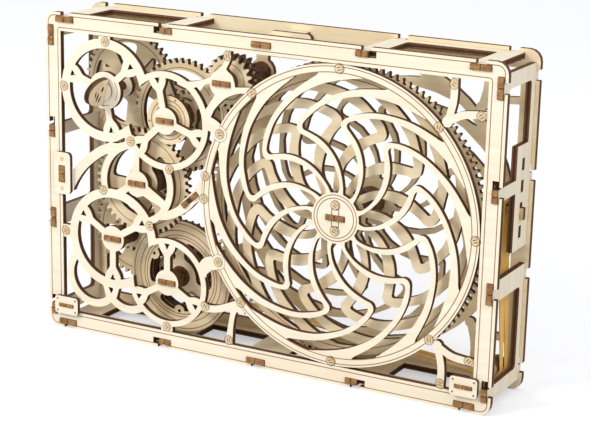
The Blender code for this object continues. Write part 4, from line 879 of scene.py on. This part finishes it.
def lattice():
    """The ring frames at the left that carry the front ends of the axles."""
    a, b, c, d, g, h, k = AXLE_A, AXLE_B, AXLE_C, AXLE_D, AXLE_G, AXLE_H, AXLE_K
    left_lobe = (c[0] - LOBE_LEFT, WIN_LOW + LOBE_HEIGHT)
    right_lobe = (c[0] + LOBE_RIGHT, WIN_LOW + LOBE_HEIGHT)
    drawing = Drawing(disc(left_lobe, LOBE_OUT), disc(right_lobe, LOBE_OUT))
    drawing.cut(disc(left_lobe, LOBE_IN), disc(right_lobe, LOBE_IN))
    foot = ((left_lobe[0] + right_lobe[0]) / 2, WIN_LOW + FOOT_HEIGHT)
    drawing.add(beside(foot, FOOT)).cut(beside(foot, FOOT_EYE))
    drawing.add(eased(beside(b, B_SWEEP)))
    drawing.add(disc(b, SMALL_RING)).cut(disc(b, SMALL_OPEN))
    for spoke in (B_TOP_SPOKE, B_LEFT_SPOKE, B_RIGHT_SPOKE):
        drawing.add(beside(b, spoke))
    drawing.add(disc(c, LATTICE_RING + C_BACKING))
    drawing.add(eased(beside(g, G_STAR)))
    right, left = (beside(g, side) for side in G_TOP_ARM)
    top = [(right[-1][0], WIN_TOP), (left[-1][0], WIN_TOP)]
    drawing.add([g] + smooth(right) + top + smooth(left)[::-1])
    drawing.cut(eased(beside(g, G_OPENING)))
    for centre, edge in ((a, A_RIGHT_ARM), (b, B_FAN), (d, D_UPPER_ARM), (d, D_LOWER_ARM)):
        drawing.add(eased(beside(centre, edge)))
    leg_left, leg_right = smooth(beside(d, D_LEG_LEFT)), smooth(beside(d, D_LEG_RIGHT))
    drawing.add([(leg_left[0][0], WIN_LOW)] + leg_left + leg_right + [(leg_right[-1][0], WIN_LOW)])
    drawing.add(disc(a, LATTICE_RING), disc(k, KNOB_RING), disc(c, LATTICE_RING), disc(d, DRUM_RING))
    drawing.cut(disc(a, LATTICE_OPEN), disc(k, KNOB_OPEN), disc(c, LATTICE_OPEN), disc(d, DRUM_OPEN))
    drawing.cut(beside(b, B_SWEEP_SLIT))
    drawing.add(disc(spot(b, B_RIVET), B_RIVET_PAD))
    for centre, opening, angles in ((a, LATTICE_OPEN, A_SPOKES), (k, KNOB_OPEN, K_SPOKES),
                                    (c, LATTICE_OPEN, C_SPOKES), (d, DRUM_OPEN, D_SPOKES)):
        ring_spokes(drawing, centre, opening, angles)
    tab = TAB_WIDTH / 2
    drawing.add(box(k[0] - tab, k[1] + KNOB_OPEN + TAB_BITE, k[0] + tab, WIN_TOP),
                box(WIN_LEFT, k[1] - tab, k[0] - KNOB_OPEN - TAB_BITE, k[1] + tab),
                box(WIN_LEFT, c[1] - tab, c[0] - LATTICE_OPEN - TAB_BITE, c[1] + tab),
                box(d[0] - tab, WIN_LOW, d[0] + tab, d[1] - DRUM_OPEN - TAB_BITE))
    drawing.add(*[disc(centre, HUB_PAD) for centre in (a, b, c, d, g)], disc(k, KNOB_PAD))
    drawing.cut(disc(h, RING_OUT + SEAT_GAP)).add(*[disc(place, LUG) for place in LUG_PLACES])
    drawing.cut(*outside_window(SEAT_GAP))
    past = WIN_LEFT - CUT_PAST
    drawing.cut(box(past, b[1] - SIDE_BRACKET_HALF - SEAT_GAP, SIDE_BRACKET_RIGHT + SEAT_GAP,
                    b[1] + SIDE_BRACKET_HALF + SEAT_GAP))
    drawing.cut(box(past, WIN_LOW - CUT_PAST, BRACKET_RIGHT + SEAT_GAP, BRACKET_HIGH + SEAT_GAP))
    for centre in (a, b, c, d, g):
        drawing.cut(tenon_slot(centre))
    drawing.cut(turned_box(spot(b, FAN_SLOT), FAN_SLOT_LENGTH, FAN_SLOT_HEIGHT, FAN_TURN),
                disc(k, KNOB_BORE))
    plate("front_openwork", drawing, 0, SHEET, PALE["front"], "frame", ["front_lattice"])


# Rivets, keys and tenon ends

RIVET_PLACES = [
    (48, 210), (13.5, 176), (15, 125), (15, 103), (13.5, 72), (98, 15.5), (148, 15), (157, 43.5),
    (129, 36), (139, 69), (139, 157.5), (128, 127.5), (127, 111.5), (163, 188), (144.5, 210.5),
    (68.5, 143.5), (100, 128), (45.5, 106), (84, 86), (296, 182), (305, 210), (324, 192), (296, 43),
    (305, 15), (324, 34)]
RIVET_RADIUS = 2.6
RIVET_RISE = 0.3
RIVET_PLY = plywood("rivet_ply", "front", RIVET_FACE, RIVET_FIGURE)
RIVET_SLOT_OFF = 0.85
RIVET_SLOT = (2.9, 0.5)
RIVET_CIRCLE = (0.65, 0.95)
RIVET_SHADE_REACH = 0.2
LUG_CIRCLE = 98.0
HUB_RIVET = 8.6


def rivet(name, place, turn, nodes=()):
    """A low round head with a slim slot on each side of its bar, in a thin burnt circle; a dark disc under the
    head is painted shade in the slots and in a thin line round the head.
    """
    head = Drawing(disc(place, RIVET_RADIUS, 0.05))
    for side in (-1, 1):
        head.cut(turned_box(polar(RIVET_SLOT_OFF * side, turn + 90, place), *RIVET_SLOT, turn))
    rise = RIVET_RISE + (SEAT_GAP if nodes else 0)
    plate(name, head, -rise, rise + 0.1, RIVET_PLY, "frame", nodes)
    inner, outer = (RIVET_RADIUS + reach for reach in RIVET_CIRCLE)
    burnt = Drawing(disc(place, outer, 0.05)).cut(disc(place, inner, 0.05))
    plate(f"{name}_circle", burnt, -0.06, 0.1, SOOT_AND_SHADE_PLY)
    # Painted shade: a dark disc under the head shows in its slots and round its edge.
    dark = Drawing(disc(place, RIVET_RADIUS + RIVET_SHADE_REACH, 0.08))
    plate(f"{name}_slot", dark, -0.08, 0.12, SOOT_AND_SHADE_PLY)


def rivets():
    for number, place in enumerate(RIVET_PLACES, 1):
        rivet(f"rivet_{number}", place, (number * 67) % 180)
    h = AXLE_H
    for node, reach, angle, turn in (("rivet_ring_top", LUG_CIRCLE, 90, 20),
                                     ("rivet_ring_right", LUG_CIRCLE, 0, 20),
                                     ("rivet_ring_bottom", LUG_CIRCLE, 270, 20),
                                     ("rivet_hub_upper", HUB_RIVET, 90, 150),
                                     ("rivet_hub_lower", HUB_RIVET, 270, 150)):
        rivet(f"{node}_head", polar(reach, angle, h), turn, [node])


KEY_WEAR = 0.25
KEY_GAP_SHADE = 0.5
KEY_GAP_SHADE_BACK = 1.36


def key(name, place, length, height, turn=0.0, start=-1.7, depth=3.0, split=0.6):
    """A brown tenon end, split across its middle, that stands proud of its slot; a dark sheet behind it shows in
    the split and round its edges: the slot's burnt walls, with painted shade in the gap.
    """
    half = (length - split) / 2
    drawing = Drawing()
    for side in (-1, 1):
        middle = polar(side * (half + split) / 2, turn, place)
        drawing.add(turned_box(middle, half, height, turn))
    made = plate(name, drawing, start, depth, KEY_PLY)
    edge = made.modifiers.new("worn_edge", "BEVEL")
    edge.width = KEY_WEAR * MM
    edge.segments = 2
    # Painted shade: a dark sheet behind the tenon end fills the split and the gap round it.
    rim = Drawing(turned_box(place, length + KEY_GAP_SHADE, height + KEY_GAP_SHADE, turn))
    plate(f"{name}_rim", rim, start + depth - KEY_GAP_SHADE_BACK, 0.1, SOOT_AND_SHADE_PLY)


SLOT_LENGTH = 14.5
SLOT_INSET = 4.6
END_INSET = BAR_SIDE + SLOT_LENGTH / 4
TOP_STATIONS = [PANEL_LEFT + END_INSET, PANEL_LEFT + PANEL_WIDTH * 0.28, PANEL_LEFT + PANEL_WIDTH * 0.5,
                PANEL_LEFT + PANEL_WIDTH * 0.72, PANEL_RIGHT - END_INSET - 2.0]
SIDE_STATIONS = [PANEL_LOW + END_INSET, PANEL_LOW + PANEL_HEIGHT * 0.356, PANEL_LOW + PANEL_HEIGHT * 0.644,
                 PANEL_TOP - END_INSET]
SLOT_LOW = PANEL_LOW + SLOT_INSET
SLOT_TOP = PANEL_TOP - SLOT_INSET
SLOT_LEFT = PANEL_LEFT + SLOT_INSET
SLOT_RIGHT = PANEL_RIGHT - SLOT_INSET
MIDDLE_DROP = 2.0

# Which part of its slot each tenon fills: 0 the whole, -1 its low or left part, 1 the other
TOP_TENONS = (0, 1, 0, -1, 0)
SIDE_TENONS = (-1, 0, -1, 0)
SLOT_REACH = 6.95
SHORT_TENON = 8.6
PANEL_KEY_HEIGHT = 3.7
BRACKET_KEY = (11.6, 2.2)
BRACKET_DOT_INSET = 2.2
BRACKET_FRONT = -4.4
RIGHT_BRACKET = (WIN_RIGHT - 14.8, WIN_RIGHT + 4.2)


def tenon_span(middle, share):
    """The middle and the length of a tenon's end in its slot."""
    if share:
        return middle + share * (SLOT_REACH - SHORT_TENON / 2), SHORT_TENON - 0.2
    return middle, 2 * SLOT_REACH - 0.2


def keys():
    """The brown ends that show on the front face."""
    for name, place in (("a", AXLE_A), ("b", AXLE_B), ("c", AXLE_C), ("d", AXLE_D), ("g", AXLE_G),
                        ("h", AXLE_H)):
        key(f"axle_key_{name}", place, TENON_LENGTH - 0.6, TENON_HEIGHT)
    key("fan_key", spot(AXLE_B, FAN_SLOT), 15.0, 3.4, FAN_TURN, split=4.6)
    hub = AXLE_H
    slot = Drawing(turned_box(hub, 5.6, 12.6)).cut(turned_box(hub, 4.6, 11.6))
    plate("hub_slot_line", slot.cut(turned_box(hub, 6.0, TENON_HEIGHT)), -0.06, 0.1, SOOT_AND_SHADE_PLY)
    for number, (x, share) in enumerate(zip(TOP_STATIONS, TOP_TENONS), 1):
        top = SLOT_TOP - MIDDLE_DROP if number == 3 else SLOT_TOP
        middle, length = tenon_span(x, share)
        key(f"top_key_{number}", (middle, top), length, PANEL_KEY_HEIGHT)
        key(f"low_key_{number}", (middle, SLOT_LOW), length, PANEL_KEY_HEIGHT)
    for number, (z, share) in enumerate(zip(SIDE_STATIONS, SIDE_TENONS), 1):
        middle, length = tenon_span(z, share)
        key(f"left_key_{number}", (SLOT_LEFT, middle), length, PANEL_KEY_HEIGHT, 90)
        key(f"right_key_{number}", (SLOT_RIGHT, middle), length, PANEL_KEY_HEIGHT, 90)
    brackets = (("left", BRACKET_LEFT, BRACKET_RIGHT), ("right", *RIGHT_BRACKET))
    middle_z = (BRACKET_LOW + BRACKET_HIGH) / 2
    for name, x0, x1 in brackets:
        key(f"bracket_key_{name}", ((x0 + x1) / 2, middle_z), *BRACKET_KEY, 0, BRACKET_FRONT, SHEET)
    bracket = (WIN_LEFT + 2.0, AXLE_B[1] - 0.5)
    key("side_bracket_key", bracket, 11.2, 4.4, 90, BRACKET_FRONT, SHEET)
    for side, end in ((-1, "low"), (1, "high")):
        dot = Drawing(disc(spot(bracket, (0, side * 10.6)), 1.5, 0.05))
        plate(f"side_bracket_dot_{end}", dot, -3.4, 0.2, RIVET_PLY)
    inset = BRACKET_DOT_INSET
    for name, x0, x1 in brackets:
        for x, side in ((x0 + inset, "near"), (x1 - inset, "far")):
            for z, end in ((BRACKET_LOW + inset, "low"), (BRACKET_HIGH - inset, "high")):
                dot = Drawing(disc((x, z), 0.75, 0.05))
                plate(f"bracket_dot_{name}_{side}_{end}", dot, -3.4, 0.2, KEY_PLY)


# Start knob

GRIP_BACK = -1.6
GRIP_REACH = 20.0
GRIP_HALF = 10.0
GRIP_TILT = 16.0
GRIP_NOTCH = 0.45
GRIP_LEAVES = (((-7.4, -4.6), 6.0, 1.7, 62), ((-10.4, -2.6), 7.0, 1.9, 78),
               ((-13.2, -0.2), 5.6, 1.6, 96), ((-6.2, 2.6), 4.4, 2.6, 80))
DIAL_OUT = 10.6
DIAL_IN = 10.2


def leaf(centre, length, width, turn):
    """A leaf-shaped opening: two arcs that meet in points."""
    steps = 8
    side = [(length * (i / steps - 0.5), width / 2 * math.sin(math.pi * i / steps))
            for i in range(steps + 1)]
    return spun(side + [(x, -z) for x, z in side[-2:0:-1]], centre, turn)


def grip():
    """The half-round grip: notched along its rim, with three leaf-shaped openings and an oval one."""
    rim = []
    for step in range(11, 170):
        turn = math.radians(step)
        notch = GRIP_NOTCH if (step // 3) % 2 else 0.0
        reach = GRIP_REACH * math.sin(turn) ** 0.8 * 0.985 - notch
        rim.append((GRIP_BACK - reach, (GRIP_HALF - notch) * math.cos(turn)))
    drawing = Drawing([(GRIP_BACK, -GRIP_HALF + 0.3), (GRIP_BACK, GRIP_HALF - 0.3)] + rim)
    for opening in GRIP_LEAVES:
        drawing.cut(leaf(*opening))
    places, triangles = drawing.outline()
    tilt = math.radians(GRIP_TILT)
    verts = [at(AXLE_K[0] + w * math.cos(tilt) + up * math.sin(tilt), depth,
                AXLE_K[1] - w * math.sin(tilt) + up * math.cos(tilt))
             for w in (-SHEET / 2, SHEET / 2) for depth, up in places]
    faces = [face[::-1] for face in sheet_faces(triangles, len(places))]
    # The grip takes the darker plywood as painted shade, for its face that is in shadow.
    piece("notched_grip", verts, faces, plywood("grip_ply", "side", SHADED_FACE, SHADED_FIGURE), "knob",
          ["knob_grip"])


def knob_marks():
    """The dial's marks on the pad round the knob: an arc and a short arrow, burnt into the wood."""
    k = AXLE_K
    arcs = Drawing(arc(k, DIAL_OUT, -35, 42) + arc(k, DIAL_IN, 42, -35))
    arcs.add(arc(k, DIAL_OUT, 262, 292) + arc(k, DIAL_IN, 292, 262))
    arcs.add([polar(11.5, 263, k), polar(9.3, 263, k), polar(10.4, 253, k)])
    plate("dial_marks", arcs, -0.06, 0.1, SOOT_AND_SHADE_PLY)


# Rubber band

BAND_WIDTH = 3.4
BAND_THICK = 0.9
BAND_SPREAD = 4.0
CLIMB_STEPS = 14
PEG_TURN = 1.6
TONGUE_DEPTH = 40.8
PEG_TOP = 127.6
PEG_MIDDLE = 326.4
ROLLER_REACH = 6.4
DRUM_WRAP = 13.9
DRUM_MIDDLE = (layer(7) + layer(9)) / 2


def band_route():
    """Places along the band, each with its share of twist: 0 flat on the roller, 1 facing front."""
    turn = arc(ROLLER, ROLLER_REACH, 0, -84, 0.1)
    winding = arc(AXLE_D, DRUM_WRAP, 264, 140, 0.1)
    shares = (0.2, 0.4, 0.6, 0.8)
    run = [tuple(Vector(turn[-1]).lerp(Vector(winding[0]), t)) for t in shares]
    sides = []
    for side in (-1, 1):
        depth = TONGUE_DEPTH + side * BAND_SPREAD
        wound = DRUM_MIDDLE + side * BAND_SPREAD / 2
        strand = [(x, depth, z, 0.0) for x, z in turn]
        for share, (x, z) in zip((*shares, *[1.0] * len(winding)), run + winding):
            strand.append((x, depth + (wound - depth) * share, z, 0.0))
        foot, head = Vector((*turn[0], 0)), Vector((PEG_MIDDLE, PEG_TOP - PEG_TURN, 0))
        climb = [(*foot.lerp(head, n / CLIMB_STEPS).xy, n / CLIMB_STEPS)
                 for n in range(CLIMB_STEPS - 1, 0, -1)]
        sides.append([(x, depth, z, share) for x, z, share in climb] + strand)
    over = [(PEG_MIDDLE, depth, z, 1.0)
            for depth, z in arc((TONGUE_DEPTH, PEG_TOP - PEG_TURN), BAND_SPREAD, 180, 0, 0.1)]
    return sides[0][::-1] + over + sides[1]


def rubber_band():
    """The flat band: over the peg, down the two strands, round the roller and on to the drum."""
    route = band_route()
    places = [Vector(place[:3]) for place in route]
    verts, faces = [], []
    for i, place in enumerate(places):
        ahead = (places[min(i + 1, len(places) - 1)] - places[max(i - 1, 0)]).normalized()
        share = route[i][3] * math.pi / 2
        wide = Vector((math.sin(share), math.cos(share), 0))
        wide = (wide - ahead * wide.dot(ahead)).normalized()
        thick = ahead.cross(wide).normalized()
        first = len(verts)
        for w, t in ((-1, -1), (1, -1), (1, 1), (-1, 1)):
            verts.append(at(*(place + wide * w * BAND_WIDTH / 2 + thick * t * BAND_THICK / 2)))
        if i:
            faces += [(first - 4 + n, first - 4 + (n + 1) % 4, first + (n + 1) % 4, first + n)
                      for n in range(4)]
    faces += [(3, 2, 1, 0), tuple(len(verts) - 4 + n for n in range(4))]
    piece("flat_rubber_band", verts, faces, RUBBER, "frame", ["rubber_band"])


# Studio

FLOOR_COLOUR = (0.62, 0.63, 0.66)
FLOOR_GLOW = (0.48, 0.48, 0.48)
LAMP_AIM = (0, 0, 0.1)
WORLD_LIGHT = 0.72


def floor():
    """A white floor that keeps the shadow: part of its light is its own, for the camera alone."""
    mesh = bpy.data.meshes.new("floor")
    reach = 12.0
    mesh.from_pydata([(-reach, -reach, 0), (reach, -reach, 0), (reach, reach, 0), (-reach, reach, 0)], [],
                     [(0, 1, 2, 3)])
    made = bpy.data.objects.new("floor", mesh)
    bpy.context.scene.collection.objects.link(made)
    net = Net("floor_white")
    path = net.node("ShaderNodeLightPath", None, None, "Is Camera Ray")
    glow = net.mix(path, (0, 0, 0), FLOOR_GLOW)
    mesh.materials.append(net.paint(Base_Color=FLOOR_COLOUR, Roughness=0.9,
                                    Specular_IOR_Level=0.0, Emission_Color=glow, Emission_Strength=1.0))


def lamp(name, place, size, power):
    """An area light that faces the object."""
    light = bpy.data.lights.new(name, "AREA")
    light.size = size
    light.energy = power
    made = bpy.data.objects.new(name, light)
    made.location = place
    made.rotation_euler = (Vector(LAMP_AIM) - Vector(place)).to_track_quat("-Z", "Y").to_euler()
    bpy.context.scene.collection.objects.link(made)


def studio():
    """White all round for the camera, softer light for the object, and two lamps."""
    world = bpy.data.worlds.new("studio")
    bpy.context.scene.world = world
    world.use_nodes = True
    nodes, links = world.node_tree.nodes, world.node_tree.links
    glow = nodes["Background"]
    path = nodes.new("ShaderNodeLightPath")
    seen = nodes.new("ShaderNodeMath")
    seen.operation = "MAXIMUM"
    links.new(path.outputs["Is Camera Ray"], seen.inputs[0])
    links.new(path.outputs["Is Glossy Ray"], seen.inputs[1])
    level = nodes.new("ShaderNodeMapRange")
    level.inputs["To Min"].default_value = WORLD_LIGHT
    level.inputs["To Max"].default_value = 1.0
    links.new(seen.outputs[0], level.inputs["Value"])
    links.new(level.outputs[0], glow.inputs["Strength"])
    glow.inputs["Color"].default_value = (1, 1, 1, 1)
    lamp("key", (-0.75, -1.2, 1.0), size=0.5, power=14.0)
    lamp("fill", (1.0, -0.8, 0.7), size=0.8, power=5.0)
    bpy.context.scene.view_settings.view_transform = "Standard"


camera()
dress_frame()
large_wheels()
drum(gear_train())
cover()
lattice()
rivets()
keys()
grip()
knob_marks()
rubber_band()
floor()
studio()
